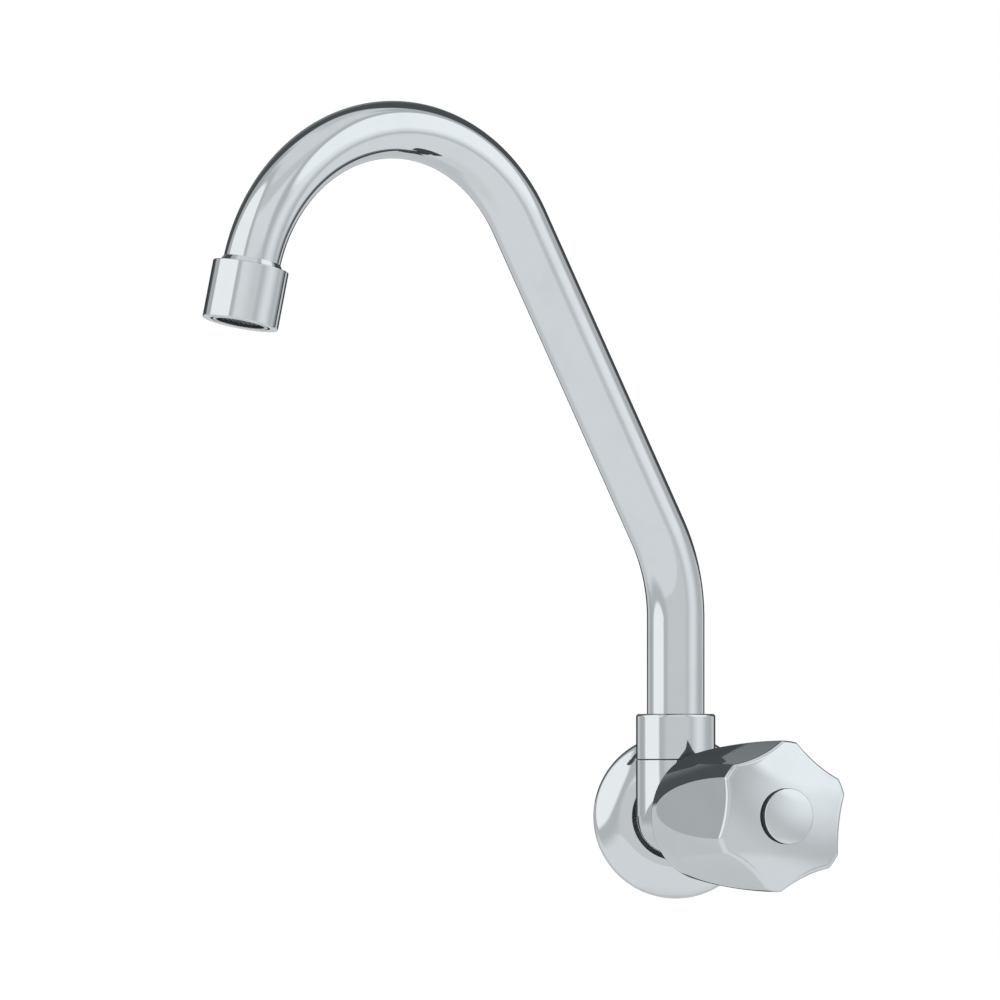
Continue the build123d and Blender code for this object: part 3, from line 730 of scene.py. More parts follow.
@dataclass
class WallFlange:
    """Pressed flange: a narrow flat land round the hole, a shallow dome and an edge down to the wall.

    Its skin is arcs that touch: the hole's small round, and outside the land the roll, the dome and
    the edge. The inside is the same arcs, one wall thickness smaller.
    """

    wall: Axes
    finish: bpy.types.Material
    radius: float = 25.7
    rim: float = 0.6
    thickness: float = 1.2
    hole_radius: float = 13.3
    hole_round: float = 0.35
    lip: float = 1.5  # from the hole to the crest; with the thickness it is also the hole's depth
    roll_radius: float = 10.5
    roll_lean: float = 19.0
    dome_lean: float = 33.0
    edge_radius: float = 3.7
    arc_steps: tuple[int, int, int] = (8, 10, 14)  # of the roll, the dome and the edge
    columns: int = 256

    def outline(self) -> Array:
        """The flange's section.

        Returns:
            Radius and height above the wall of each point.
        """
        crest = self.hole_radius + self.lip
        roll_end = crest + self.roll_radius * math.sin(math.radians(self.roll_lean))
        dome_end = self.radius - self.edge_radius * (1 - math.sin(math.radians(self.dome_lean)))
        rise = math.sin(math.radians(self.dome_lean)) - math.sin(math.radians(self.roll_lean))
        dome_radius = (dome_end - roll_end) / rise
        edge = np.array([self.radius - self.edge_radius, self.rim])
        slope = math.radians(90 - self.dome_lean)
        dome = edge - (dome_radius - self.edge_radius) * np.array([math.cos(slope), math.sin(slope)])
        slope = math.radians(90 - self.roll_lean)
        roll = dome + (dome_radius - self.roll_radius) * np.array([math.cos(slope), math.sin(slope)])
        turns = 90.0, 90 - self.roll_lean, 90 - self.dome_lean, 0.0
        radii = self.roll_radius, dome_radius, self.edge_radius
        arcs = list(zip((roll, dome, edge), radii, turns, turns[1:], self.arc_steps))
        outside = [arc(*part)[1:] for part in arcs]
        inside = [
            arc(centre, radius - self.thickness, end, start, steps)
            for centre, radius, start, end, steps in arcs[::-1]
        ]
        depth = roll[1] + self.roll_radius
        lip = arc((self.hole_radius + self.hole_round, depth - self.hole_round), self.hole_round, 180, 90, 6)
        land = np.array([(lip[-1, 0] + HOLD, depth), (crest, depth)])
        foot = np.array([(self.radius, 0.0), (self.radius - self.thickness, 0.0)])
        back = np.array([(self.hole_radius, depth - self.lip - self.thickness)])
        return np.vstack((lip, land, *outside, foot, inside[0], *(part[1:] for part in inside[1:]), back))

    def build(self) -> bpy.types.Object:
        """Makes the flange."""
        surface = carried(self.outline(), self.wall.place, self.columns)
        return add_piece("wall_flange_skin", surface, Body.TAP, "wall_flange", Slot.CHROME, self.finish)


@dataclass
class SpoutNut:
    """Round nut that holds the spout down on the body.

    Its top edge is rounded. The bevel at its foot shows as the dark seam above the body.
    """

    swivel: Axes
    finish: bpy.types.Material
    foot: float = 17.55
    radius: float = 12.4
    bore_radius: float = 11.05
    shoulder: float = 30.41
    lip: float = 1.6
    hole_radius: float = 9.08
    top_round: float = 0.9
    hole_round: float = 0.2
    bore_round: float = 0.1
    foot_bevel: float = 0.42
    bevel_round: float = 0.04
    columns: int = 192

    def build(self) -> bpy.types.Object:
        """Makes the nut."""
        top = self.shoulder + self.lip
        outline = rounded(
            [
                (self.radius - self.foot_bevel, self.foot, 0.0),
                (self.radius, self.foot + self.foot_bevel, self.bevel_round),
                (self.radius, top, self.top_round),
                (self.hole_radius, top, self.hole_round),
                (self.hole_radius, self.shoulder, 0.0),
                (self.bore_radius, self.shoulder, 0.0),
                (self.bore_radius, self.foot, self.bore_round),
            ],
            steps=8,
        )
        surface = carried(outline, self.swivel.place, self.columns)
        return add_piece("spout_nut_skin", surface, Body.TAP, "spout_nut", Slot.CHROME, self.finish)


@dataclass
class HandleCap:
    """Snap-in cap: a chromed disc with a shallow domed face on a moulded plug, whose black is painted
    shade that darkens the band round the cap's side.

    The dome is part of a sphere, and the plug's skirt grips the handle's recess.
    """

    valve: Axes
    chrome: bpy.types.Material
    # black acetal here is painted shade on the plug's side
    acetal: bpy.types.Material
    seat: float = 68.3
    radius: float = 8.75
    height: float = 2.7
    crown: float = 0.6
    edge_round: float = 0.4
    disc_side: float = 0.12
    plug_inset: float = 0.05
    skirt_radius: float = 5.9
    skirt_length: float = 4.5
    skirt_wall: float = 1.0
    plug_round: float = 0.15
    skirt_round: float = 0.2
    dome_steps: int = 16
    edge_steps: int = 8
    columns: int = 160

    @property
    def disc_back(self) -> float:
        """Height of the disc's back, where the plug starts."""
        return self.seat + self.height - self.edge_round - self.disc_side

    def disc(self) -> Array:
        """The disc's section.

        Returns:
            Radius and height of each point.
        """
        dome_radius = (self.radius**2 + self.crown**2) / (2 * self.crown)
        centre = self.seat + self.height + self.crown - dome_radius
        lean = math.degrees(math.asin((self.radius - self.edge_round) / dome_radius))
        dome = arc((0, centre), dome_radius, 90, 90 - lean, self.dome_steps)
        turn = (self.radius - self.edge_round, dome[-1, 1] - self.edge_round * math.cos(math.radians(lean)))
        corner = arc(turn, self.edge_round, 90 - lean, 0, self.edge_steps)
        back = np.array([(self.radius, self.disc_back), (0.0, self.disc_back)])
        return np.vstack((dome, corner[1:], back))

    def plug(self) -> Array:
        """The plug's section.

        Returns:
            Radius and height of each point.
        """
        side = self.radius - self.plug_inset
        bore = self.skirt_radius - self.skirt_wall
        skirt_end = self.seat - self.skirt_length
        return rounded(
            [
                (0.0, self.disc_back, 0.0),
                (side, self.disc_back, 0.0),
                (side, self.seat, self.plug_round),
                (self.skirt_radius, self.seat, 0.0),
                (self.skirt_radius, skirt_end, self.skirt_round),
                (bore, skirt_end, self.skirt_round),
                (bore, self.seat, 0.0),
                (0.0, self.seat, 0.0),
            ],
            closed=False,
        )

    def build(self) -> list[bpy.types.Object]:
        """Makes the cap's disc and plug."""
        disc = carried(self.disc(), self.valve.place, self.columns)
        plug = carried(self.plug(), self.valve.place, self.columns)
        return [
            add_piece("handle_cap_disc", disc, Body.HANDLE, "handle_cap", Slot.CHROME, self.chrome),
            # The plug's black is painted shade: it darkens the band round the cap's side.
            add_piece("handle_cap_plug_painted_shade", plug, Body.HANDLE, "handle_cap", Slot.BLACK_ACETAL, self.acetal),
        ]


@dataclass
class Handle:
    """Hollow handle: six flutes that run out towards the rear, a domed front, a hub and ribs.

    About the valve axis the barrel's radius is an arc over the distance d from the front's corners,
    front_radius - (bow - sqrt(bow**2 - d**2)). A flute is a cylinder along the axis, so its radius at
    an angle a from its middle is c * cos(a) - sqrt(flute_radius**2 - (c * sin(a))**2), where c is the
    distance of its own axis. The skin is the smaller of the two, min(p, q) less
    max(k - |p - q|, 0)**2 / (4 * k), which rounds the crease where they meet. Columns of the grid
    follow that crease, and inside they follow the sides of the ribs.
    """

    valve: Axes
    finish: bpy.types.Material
    start: float = 19.1
    end: float = 66.8
    rear_radius: float = 20.0
    front_radius: float = 23.7
    crown: float = 2.6
    corner_turn: float = 23.15
    flutes: int = 6
    flute_radius: float = 42.0
    floor_radius: float = 20.65
    front_round: float = 1.4
    rear_round: float = 0.9
    crease_round: float = 0.4
    cavity_radius: float = 17.6
    cavity_end: float = 62.3
    hub_radius: float = 7.6
    hub_start: float = 45.18
    web_start: float = 53.68
    web_end: float = 55.28
    rib_start: float = 50.18
    rib_half: float = 0.8
    spline_radius: float = 4.0
    spline_depth: float = 0.45
    spline_teeth: int = 12
    screw_hole: float = 2.25
    skirt_recess: float = 5.95
    cap_recess: float = 8.8
    cap_seat: float = 68.3
    band: tuple[float, ...] = (0.08, 0.16, 0.25, 0.35, 0.5, 0.7, 1.0)  # mm each side of the crease
    band_clear: float = 1.3  # half-widths of that band that its middle keeps from a flute's middle
    flute_columns: int = 11
    ridge_columns: int = 5
    rib_columns: int = 3
    slope_step: float = 1e-4  # radians, over which the slope of a flute's wall is taken
    least_round: float = 1e-6  # mm, which keeps the crease's formula from dividing by nought
    run_out: tuple[float, float] = (0.6, 2.4)  # mm behind and ahead of the flutes' ends with finer rows
    rear_rows: int = 7
    side_rows: tuple[int, int, int] = (6, 21, 36)  # behind, round and ahead of the flutes' ends
    front_rows: int = 12
    face_rows: int = 14
    face_hold: float = 0.004  # share of the face's width to the extra ring beside its round
    spoke_rows: int = 5

    @property
    def bow(self) -> float:
        """Radius of the arc along the barrel."""
        rise = self.front_radius - self.rear_radius
        return ((self.end - self.start) ** 2 + rise**2) / (2 * rise)

    @property
    def crown_radius(self) -> float:
        """Radius of the sphere that the domed front is part of."""
        return (self.front_radius**2 + self.crown**2) / (2 * self.crown)

    @property
    def half_sector(self) -> float:
        """Angle from the middle of a flute to the middle of a ridge."""
        return math.pi / self.flutes

    def barrel(self, height: Array) -> Array:
        """Radius of the barrel between the flutes."""
        return self.front_radius - self.bow + np.sqrt(self.bow**2 - (self.end - height) ** 2)

    def dome(self, radius: Array) -> Array:
        """Height of the domed front."""
        return self.end + self.crown - self.crown_radius + np.sqrt(self.crown_radius**2 - radius**2)

    def flute(self, turn: Array) -> Array:
        """Radius of a flute's wall at an angle from its middle."""
        reach = self.floor_radius + self.flute_radius
        return reach * np.cos(turn) - np.sqrt(self.flute_radius**2 - (reach * np.sin(turn)) ** 2)

    def crease(self, height: Array) -> Array:
        """Angle from a flute's middle to its crease, by the cosine rule, or 0 where it has run out."""
        reach, radius = self.floor_radius + self.flute_radius, self.barrel(height)
        cosine = (reach**2 + radius**2 - self.flute_radius**2) / (2 * reach * radius)
        return np.arccos(np.clip(cosine, -1, 1))

    def skin(self, height: Array, turn: Array) -> Array:
        """The skin: the barrel or the flute, with the crease between them rounded.

        Args:
            height: Height of each point, in mm.
            turn: Its angle from the middle of a flute, in radians.

        Returns:
            The skin's radius there.
        """
        crease, step = self.crease(height), self.slope_step
        across = (self.flute(crease + step) - self.flute(crease)) / step / self.barrel(height)
        along = (self.end - height) / self.bow
        k = self.crease_round * np.hypot(across, along) + self.least_round
        p, q = self.barrel(height), self.flute(turn)
        return np.minimum(p, q) - np.maximum(k - np.abs(p - q), 0) ** 2 / (4 * k)

    def ring(self, half: Array) -> Array:
        """Angles of whole rings.

        Args:
            half: Rows of angles that go from a flute's middle to a ridge's.

        Returns:
            The angles about the valve's axis, with each row mirrored and repeated round it.
        """
        sector = np.hstack((-half[:, :0:-1], half[:, :-1]))
        first = math.radians(self.corner_turn) + self.half_sector
        centres = first + 2 * self.half_sector * np.arange(self.flutes)
        return (centres[None, :, None] + sector[:, None, :]).reshape(len(half), -1)

    def skin_turns(self, height: Array) -> Array:
        """Angles from a flute's middle to a ridge's, which crowd round the crease.

        Args:
            height: Height of each row, in mm.

        Returns:
            The rows of angles, in radians.
        """
        radius = self.barrel(height)[:, None]
        reach = self.band[-1] / radius
        middle = np.maximum(self.crease(height)[:, None], self.band_clear * reach)
        offsets = np.array((*(-step for step in self.band[::-1]), 0.0, *self.band))
        inner = np.linspace(0, 1, self.flute_columns, endpoint=False) * (middle - reach)
        share = np.linspace(0, 1, self.ridge_columns + 1)[1:]
        outer = middle + reach + share * (self.half_sector - middle - reach)
        return np.hstack((inner, middle + offsets / radius, outer))

    def rib_turns(self, radius: Array) -> Array:
        """Angles that keep a rib's side at a steady distance from the rib's middle.

        Args:
            radius: Radius of each row, in mm.

        Returns:
            The rows of angles, in radians.
        """
        edge = np.arcsin(self.rib_half / radius)[:, None]
        columns = self.flute_columns + 2 * len(self.band) + 1 + self.ridge_columns
        inner = np.linspace(0, 1, self.rib_columns + 1) * edge
        outer = edge + HOLD / 2 / radius[:, None]
        rest = np.linspace(0, 1, columns - self.rib_columns - 1)
        return np.hstack((inner, outer + rest * (self.half_sector - outer)))

    def outside(self) -> tuple[Array, Array, Array]:
        """The rows from the rear rim along the skin to the cap's recess.

        Returns:
            Radius, angle and height of their points.
        """
        lean = math.asin((self.end - self.start) / self.bow)
        foot = self.start + self.rear_round * (1 - math.sin(lean))
        middle = float(self.barrel(np.array(foot))) - self.rear_round * math.cos(lean)
        turn = np.linspace(-math.pi / 2, -lean, self.rear_rows)[:-1, None]
        rear_turns = self.ring(self.skin_turns(np.full(len(turn), foot)))
        rear = (
            middle + self.rear_round * np.cos(turn) + 0 * rear_turns,
            rear_turns,
            self.start + self.rear_round * (1 + np.sin(turn)) + 0 * rear_turns,
        )

        half = self.skin_turns(np.array([self.end]))
        front_turns = self.ring(half)
        edge = self.ring_values(self.skin(np.array([self.end]), half))
        slope = np.arcsin(edge / self.crown_radius)
        tangent = self.dome(edge) - self.front_round * (1 - np.sin(slope)) / np.cos(slope)

        reach = self.bow - self.front_radius + self.floor_radius
        runs_out = self.end - math.sqrt(self.bow**2 - reach**2)
        behind, ahead = runs_out - self.run_out[0], runs_out + self.run_out[1]
        last = self.end - self.front_round
        nominal = np.concatenate(
            (
                np.linspace(foot, behind, self.side_rows[0])[:-1],
                np.linspace(behind, ahead, self.side_rows[1])[:-1],
                np.linspace(ahead, last - HOLD, self.side_rows[2]),
                [last],
            )
        )
        turns = self.skin_turns(nominal)
        share = ((nominal - foot) / (last - foot))[:, None]
        height = foot + share * (tangent - foot)
        angle = self.ring(turns)
        radius = self.skin(height, self.ring_values(turns))
        side = (radius, angle, height)

        turn = np.linspace(0, 1, self.front_rows)[1:, None] * (math.pi / 2 - slope)
        front = (
            edge - self.front_round * (1 - np.cos(turn)),
            front_turns + 0 * turn,
            tangent + self.front_round * np.sin(turn),
        )
        inner = edge - self.front_round * (1 - np.sin(slope))
        share = np.concatenate(([self.face_hold], np.linspace(0, 1, self.face_rows)[1:]))[:, None]
        radius = inner + share * (self.cap_recess - inner)
        face = (radius, front_turns + 0 * share, self.dome(radius))
        return tuple(np.vstack(part) for part in zip(rear, side, front, face))

    def ring_values(self, half: Array) -> Array:
        """Values of whole rings, from rows of values that go from a flute's middle to a ridge's."""
        return np.tile(np.hstack((half[:, :0:-1], half[:, :-1])), (1, self.flutes))

    def inside(self) -> tuple[Array, Array, Array]:
        """The rows from the cap's recess through the hub and along the cavity to the rear rim.

        Returns:
            Radius, angle and height of their points.
        """
        turns = self.ring(self.skin_turns(np.array([self.end])))
        tooth = np.abs((turns * self.spline_teeth / math.pi) % 2 - 1)
        spline = self.spline_radius - self.spline_depth * (1 - tooth)
        bore = [
            (self.cap_recess, self.cap_seat),
            (self.skirt_recess, self.cap_seat),
            (self.skirt_recess, self.web_end),
            (self.screw_hole, self.web_end),
            (self.screw_hole, self.web_start),
            (spline, self.web_start),
            (spline, self.hub_start),
        ]
        radius = np.vstack([value + 0 * turns for value, _ in bore])
        height = np.vstack([value + 0 * turns for _, value in bore])
        angle = np.vstack([turns] * len(bore))

        between = np.linspace(self.hub_radius, self.cavity_radius, self.spoke_rows)
        spokes = np.concatenate(([self.hub_radius], between, [self.cavity_radius]))
        turns = self.rib_turns(spokes)
        on_rib = np.arange(turns.shape[1]) <= self.rib_columns
        ceiling = np.where(on_rib, self.rib_start, self.cavity_end)
        levels = np.tile(ceiling, (len(spokes), 1))
        levels[0], levels[-1] = self.hub_start, self.start
        return (
            np.vstack((radius, self.ring_values(spokes[:, None] + 0 * turns))),
            np.vstack((angle, self.ring(turns))),
            np.vstack((height, self.ring_values(levels))),
        )

    def build(self) -> bpy.types.Object:
        """Makes the handle."""
        radius, angle, height = (np.vstack(part) for part in zip(self.outside(), self.inside()))
        points = self.valve.place(radius, angle, height).reshape(-1, 3)
        surface = (points, [ring_quads(*radius.shape, closed=True)])
        return add_piece("handle_shell", surface, Body.HANDLE, "handle", Slot.CHROME, self.finish)


@dataclass
class Outlet:
    """Threaded sleeve, screwed-on housing, cage and woven screen at the spout's end."""

    axes: Axes
    chrome: bpy.types.Material
    acetal: bpy.types.Material
    # black acetal, painted shade in the slot and round the screen
    black: bpy.types.Material
    # darker grey wire, painted shade of the aerator's unlit inside
    wire: bpy.types.Material
    tube_radius: float = 9.08
    cone_length: float = 1.8
    cone_radius: float = 10.2
    thread_radius: float = 10.85
    thread_pitch: float = 1.0
    thread_depth: float = 0.55
    sleeve_length: float = 8.6
    stop_radius: float = 8.0
    stop: float = 8.05
    housing_radius: float = 12.0
    housing_length: float = 18.4
    shoulder_round: float = 0.28
    foot_round: float = 0.35
    thread_bore: float = 10.93
    bore_radius: float = 10.6
    cage_start: float = 9.6
    lip: float = 0.9
    lip_radius: float = 9.45
    cage_radius: float = 10.45
    cage_face_radius: float = 8.75
    cage_face: float = 18.3
    ring_back: float = 18.15
    cage_lip: float = 7.75
    cage_ledge: float = 17.4
    screen_radius: float = 8.15
    diffuser_radius: float = 8.95
    diffuser_seat: float = 11.44
    screen_height: float = 17.1
    wire_pitch: float = 1.1
    wire_radius: float = 0.15
    wire_sides: int = 8
    wire_step: float = 0.11
    wire_lift: float = 1.05  # wire radii by which a wire rises and falls at a crossing
    cone_gap: float = 0.02  # from the cone's rim to the step out to the thread
    cone_round: float = 0.2
    thread_round: float = 0.15
    thread_margin: float = 0.2  # plain length at the sleeve's end
    thread_rings: int = 12  # rings of the grid for each pitch
    crest_gain: float = 1.3  # how much steeper the thread's wave is made
    crest_drop: float = 0.15  # and how far it is lowered, so that its limits leave flat crests and roots
    housing_round: float = 0.15
    lip_round: float = 0.25
    clearance: float = 0.05  # round the screen, and from the cage's collar to the lip
    cage_round: float = 0.2
    collar_round: float = 0.1
    ring_round: float = 0.06
    columns: int = 192

    def sleeve(self) -> Surface:
        """Sleeve with its cone and its helical thread.

        On the thread's rings the radius is a wave of the height less one pitch for each full turn of
        the angle, cut off to flat crests and roots, and it fades out over the first and last pitch.

        Returns:
            The sleeve's corners and faces.
        """
        first, last = self.thread_pitch / 2, self.sleeve_length - self.thread_margin
        rings = np.arange(first, last, self.thread_pitch / self.thread_rings)
        skin = rounded(
            [
                (self.tube_radius, -self.cone_length, 0.0),
                (self.cone_radius, -self.cone_gap, self.cone_round),
                (self.thread_radius, 0.0, self.thread_round),
                (self.thread_radius, first, 0.0),
            ],
            closed=False,
            steps=3,
        )
        back = np.array(
            [
                (self.thread_radius - self.thread_depth, self.sleeve_length),
                (self.stop_radius, self.sleeve_length),
                (self.stop_radius, self.stop),
                (self.tube_radius, self.stop),
            ]
        )
        thread = np.column_stack((np.full(len(rings), self.thread_radius), rings))
        outline = np.vstack((skin[:-1], thread, back))
        level = outline[:, 1]
        threaded = (level >= rings[0]) & (level <= rings[-1]) & (outline[:, 0] > self.cone_radius)

        def place(radius: Array, angle: Array, height: Array) -> Array:
            """Places the rings as on a lathe, with the thread cut in.

            Args:
                radius: Radius of each ring, in mm.
                angle: Angle of each corner, in radians.
                height: Height of each ring, in mm.

            Returns:
                The points, in mm.
            """
            starting = np.clip((height - rings[0]) / self.thread_pitch, 0, 1)
            ending = np.clip((rings[-1] - height) / self.thread_pitch, 0, 1)
            fade = starting * ending
            wave = 0.5 - 0.5 * np.cos(2 * np.pi * (height / self.thread_pitch - angle / (2 * np.pi)))
            cut = self.thread_depth * fade * np.clip(wave * self.crest_gain - self.crest_drop, 0, 1)
            return self.axes.place(np.where(threaded[:, None], radius - cut, radius), angle, height)

        return carried(outline, place, self.columns)

    def housing(self) -> Surface:
        """Housing with a rounded shoulder and foot, and a lip that holds the cage in.

        Returns:
            The housing's corners and faces.
        """
        lip_start = self.housing_length - self.lip
        outline = rounded(
            [
                (self.thread_bore, 0.0, self.housing_round),
                (self.housing_radius, 0.0, self.shoulder_round),
                (self.housing_radius, self.housing_length, self.foot_round),
                (self.lip_radius, self.housing_length, self.lip_round),
                (self.lip_radius, lip_start, 0.0),
                (self.bore_radius, lip_start, 0.0),
                (self.bore_radius, self.cage_start, 0.0),
                (self.thread_bore, self.cage_start, 0.0),
            ],
            steps=8,
        )
        return carried(outline, self.axes.place, self.columns)

    def cage(self) -> Surface:
        """Moulded cage, whose collar lies at the bottom of the slot inside the housing's lip. Its black is painted
        shade, which darkens that slot.

        Returns:
            The cage's corners and faces.
        """
        collar = self.housing_length - self.lip - self.clearance
        bore = self.screen_radius + self.clearance
        outline = rounded(
            [
                (self.diffuser_radius, self.cage_start, 0.0),
                (self.cage_radius, self.cage_start, self.cage_round),
                (self.cage_radius, collar, self.collar_round),
                (self.cage_face_radius, collar, 0.0),
                (self.cage_face_radius, self.ring_back, 0.0),
                (self.cage_lip, self.ring_back, 0.0),
                (self.cage_lip, self.cage_ledge, 0.0),
                (bore, self.cage_ledge, 0.0),
                (bore, self.diffuser_seat, 0.0),
                (self.diffuser_radius, self.diffuser_seat, 0.0),
            ],
            steps=4,
        )
        return carried(outline, self.axes.place, self.columns)

    def cage_ring(self) -> Surface:
        """White ring on the cage's face, which shows inside the housing's lip.

        Returns:
            The ring's corners and faces.
        """
        outline = rounded(
            [
                (self.cage_lip, self.ring_back, 0.0),
                (self.cage_face_radius, self.ring_back, 0.0),
                (self.cage_face_radius, self.cage_face, self.ring_round),
                (self.cage_lip, self.cage_face, self.ring_round),
            ],
            steps=4,
        )
        return carried(outline, self.axes.place, self.columns)

    def screen(self) -> Surface:
        """Plain-woven wire screen.

        A wire at a steady offset follows the line height = a * cos(pi * x / pitch), with the sign
        turned over from one wire to the next, and the wires across it follow the opposite sign, so
        that they pass over and under each other. Each wire is a ring of sides carried along it.

        Returns:
            The screen's corners and faces.
        """
        count = int(self.screen_radius / self.wire_pitch)
        number = np.arange(-count, count + 1)
        offset = number * self.wire_pitch
        half = np.sqrt(self.screen_radius**2 - offset**2)
        steps = int(2 * self.screen_radius / self.wire_step)
        run = np.linspace(-1, 1, steps)[None, :] * half[:, None]
        lift = self.wire_radius * self.wire_lift
        around = np.linspace(0, 2 * np.pi, self.wire_sides, endpoint=False)
        parts: list[Surface] = []
        for across in (0, 1):
            phase = np.where(number % 2 == across, 1.0, -1.0)[:, None]
            wave = phase * lift * np.cos(np.pi * run / self.wire_pitch)
            slope = -phase * lift * np.pi / self.wire_pitch * np.sin(np.pi * run / self.wire_pitch)
            tilt = np.arctan(slope)[..., None]
            spot = np.broadcast_to(offset[:, None, None], (len(number), steps, len(around)))
            x = run[..., None] - self.wire_radius * np.sin(tilt) * np.sin(around)
            y = spot + self.wire_radius * np.cos(around)
            z = wave[..., None] + self.wire_radius * np.cos(tilt) * np.sin(around)
            first, second = (x, y) if across == 0 else (y, x)
            points = (
                self.axes.foot
                + first[..., None] * self.axes.side
                + second[..., None] * self.axes.third
                + (self.screen_height + z)[..., None] * self.axes.along
            )
            grid = ring_quads(steps, self.wire_sides, closed=False)
            base = np.arange(len(number))[:, None, None] * steps * self.wire_sides
            quads = (base + grid).reshape(-1, 4)
            rim = np.arange(self.wire_sides)
            ends = np.stack([rim[::-1], rim + (steps - 1) * self.wire_sides])
            caps = (base + ends).reshape(-1, self.wire_sides)
            parts.append((points.reshape(-1, 3), [quads, caps]))
        return merge(parts)

    def build(self) -> list[bpy.types.Object]:
        """Makes the outlet's pieces, which all ride on the spout."""
        parts = (
            ("outlet_sleeve_skin", self.sleeve(), "outlet_sleeve", Slot.CHROME, self.chrome),
            ("aerator_housing_skin", self.housing(), "aerator_housing", Slot.CHROME, self.chrome),
            ("aerator_cage_ring", self.cage_ring(), "aerator_cage", Slot.ACETAL, self.acetal),
            # The cage body's black is painted shade that darkens the slot inside the lip.
            ("aerator_cage_body_painted_shade", self.cage(), "aerator_cage", Slot.BLACK_ACETAL, self.black),
            # The weave's darker grey is painted shade of the aerator's inside.
            ("aerator_screen_weave", self.screen(), "aerator_screen", Slot.STEEL, self.wire),
        )
        return [
            add_piece(name, surface, Body.SPOUT, node, slot, finish)
            for name, surface, node, slot, finish in parts
        ]


# ------------------------------------------------------------------------------------------------
# Studio and camera
# ------------------------------------------------------------------------------------------------


@dataclass(frozen=True)
class Tone:
    """A soft-edged area of the studio that the metal mirrors.

    Its mask is the length of (turn from its middle / half its width, height from its middle / half its
    height), each raised to a power, which is 1 on its outline.

    Attributes:
        name: What stands there in the room.
        color: The tone that chrome shows of it.
        azimuth: Its middle, in degrees from the camera, to the right.
        elevation: Its middle, in degrees above the horizon.
        half_width: Half its width in degrees. ALL_ROUND makes it a band round the room.
        half_height: Half its height in degrees.
        edge: Share of its size over which it fades, half inside its outline.
        square: Whether it is a rounded rectangle and not an ellipse.
    """

    name: str
    color: str
    azimuth: float
    elevation: float
    half_width: float
    half_height: float
    edge: float = 0.16
    square: bool = False


ALL_ROUND = 1e6
ROOM_TONE = "c5c9cc"
DIM_TONE = "464b4c"  # what chrome shows of the room in the mirror image of other chrome
STUDIO_TONES = (
    Tone("ceiling", "c9cccf", 0, 90, ALL_ROUND, 28, 0.3),
    Tone("cove below the ceiling", "bbbec1", 0, 49, ALL_ROUND, 8, 0.9),
    Tone("lit wall", "d0d3d6", 0, 27, ALL_ROUND, 14, 0.6),
    Tone("low wall", "bfc2c4", 0, 0, ALL_ROUND, 13, 0.7),
    Tone("floor", "cdd1d3", 0, -52, ALL_ROUND, 40.5, 0.06, True),
    Tone("floor underneath", "c7cacc", 0, -90, ALL_ROUND, 25, 0.8),
    Tone("rear half of the room", "b8bcbe", 180, 0, 62, 90, 0.5),
    Tone("left panel's surround", "aeb1b3", -75, 22, 50, 43, 0.25),
    Tone("right panel's surround", "abaeb0", 79, 27, 49, 39, 0.25),
    Tone("left gap", "a3a6a8", -119, 28, 11, 38, 0.4, True),
    Tone("right gap", "a8abad", 119, 28, 11, 38, 0.4, True),
    Tone("left panel", "e6eaeb", -75, 23.5, 37, 32.5, 0.12),
    Tone("glow below the right panel", "dde2e5", 73, 8, 20, 12, 1.6),
    Tone("right panel", "e5ebee", 79, 31.5, 37, 25.5, 0.16),
    Tone("dark backdrop", "464b4c", 180, 33, 52, 29.5, 0.1, True),
    Tone("foot of the backdrop", "353a3b", 180, 2, 33, 13, 0.2, True),
    Tone("sheen on the backdrop", "6e7374", -171, 20, 17, 14, 0.9),
    Tone("dark upright", "70757a", 122, -30, 5.5, 26, 0.4, True),
)


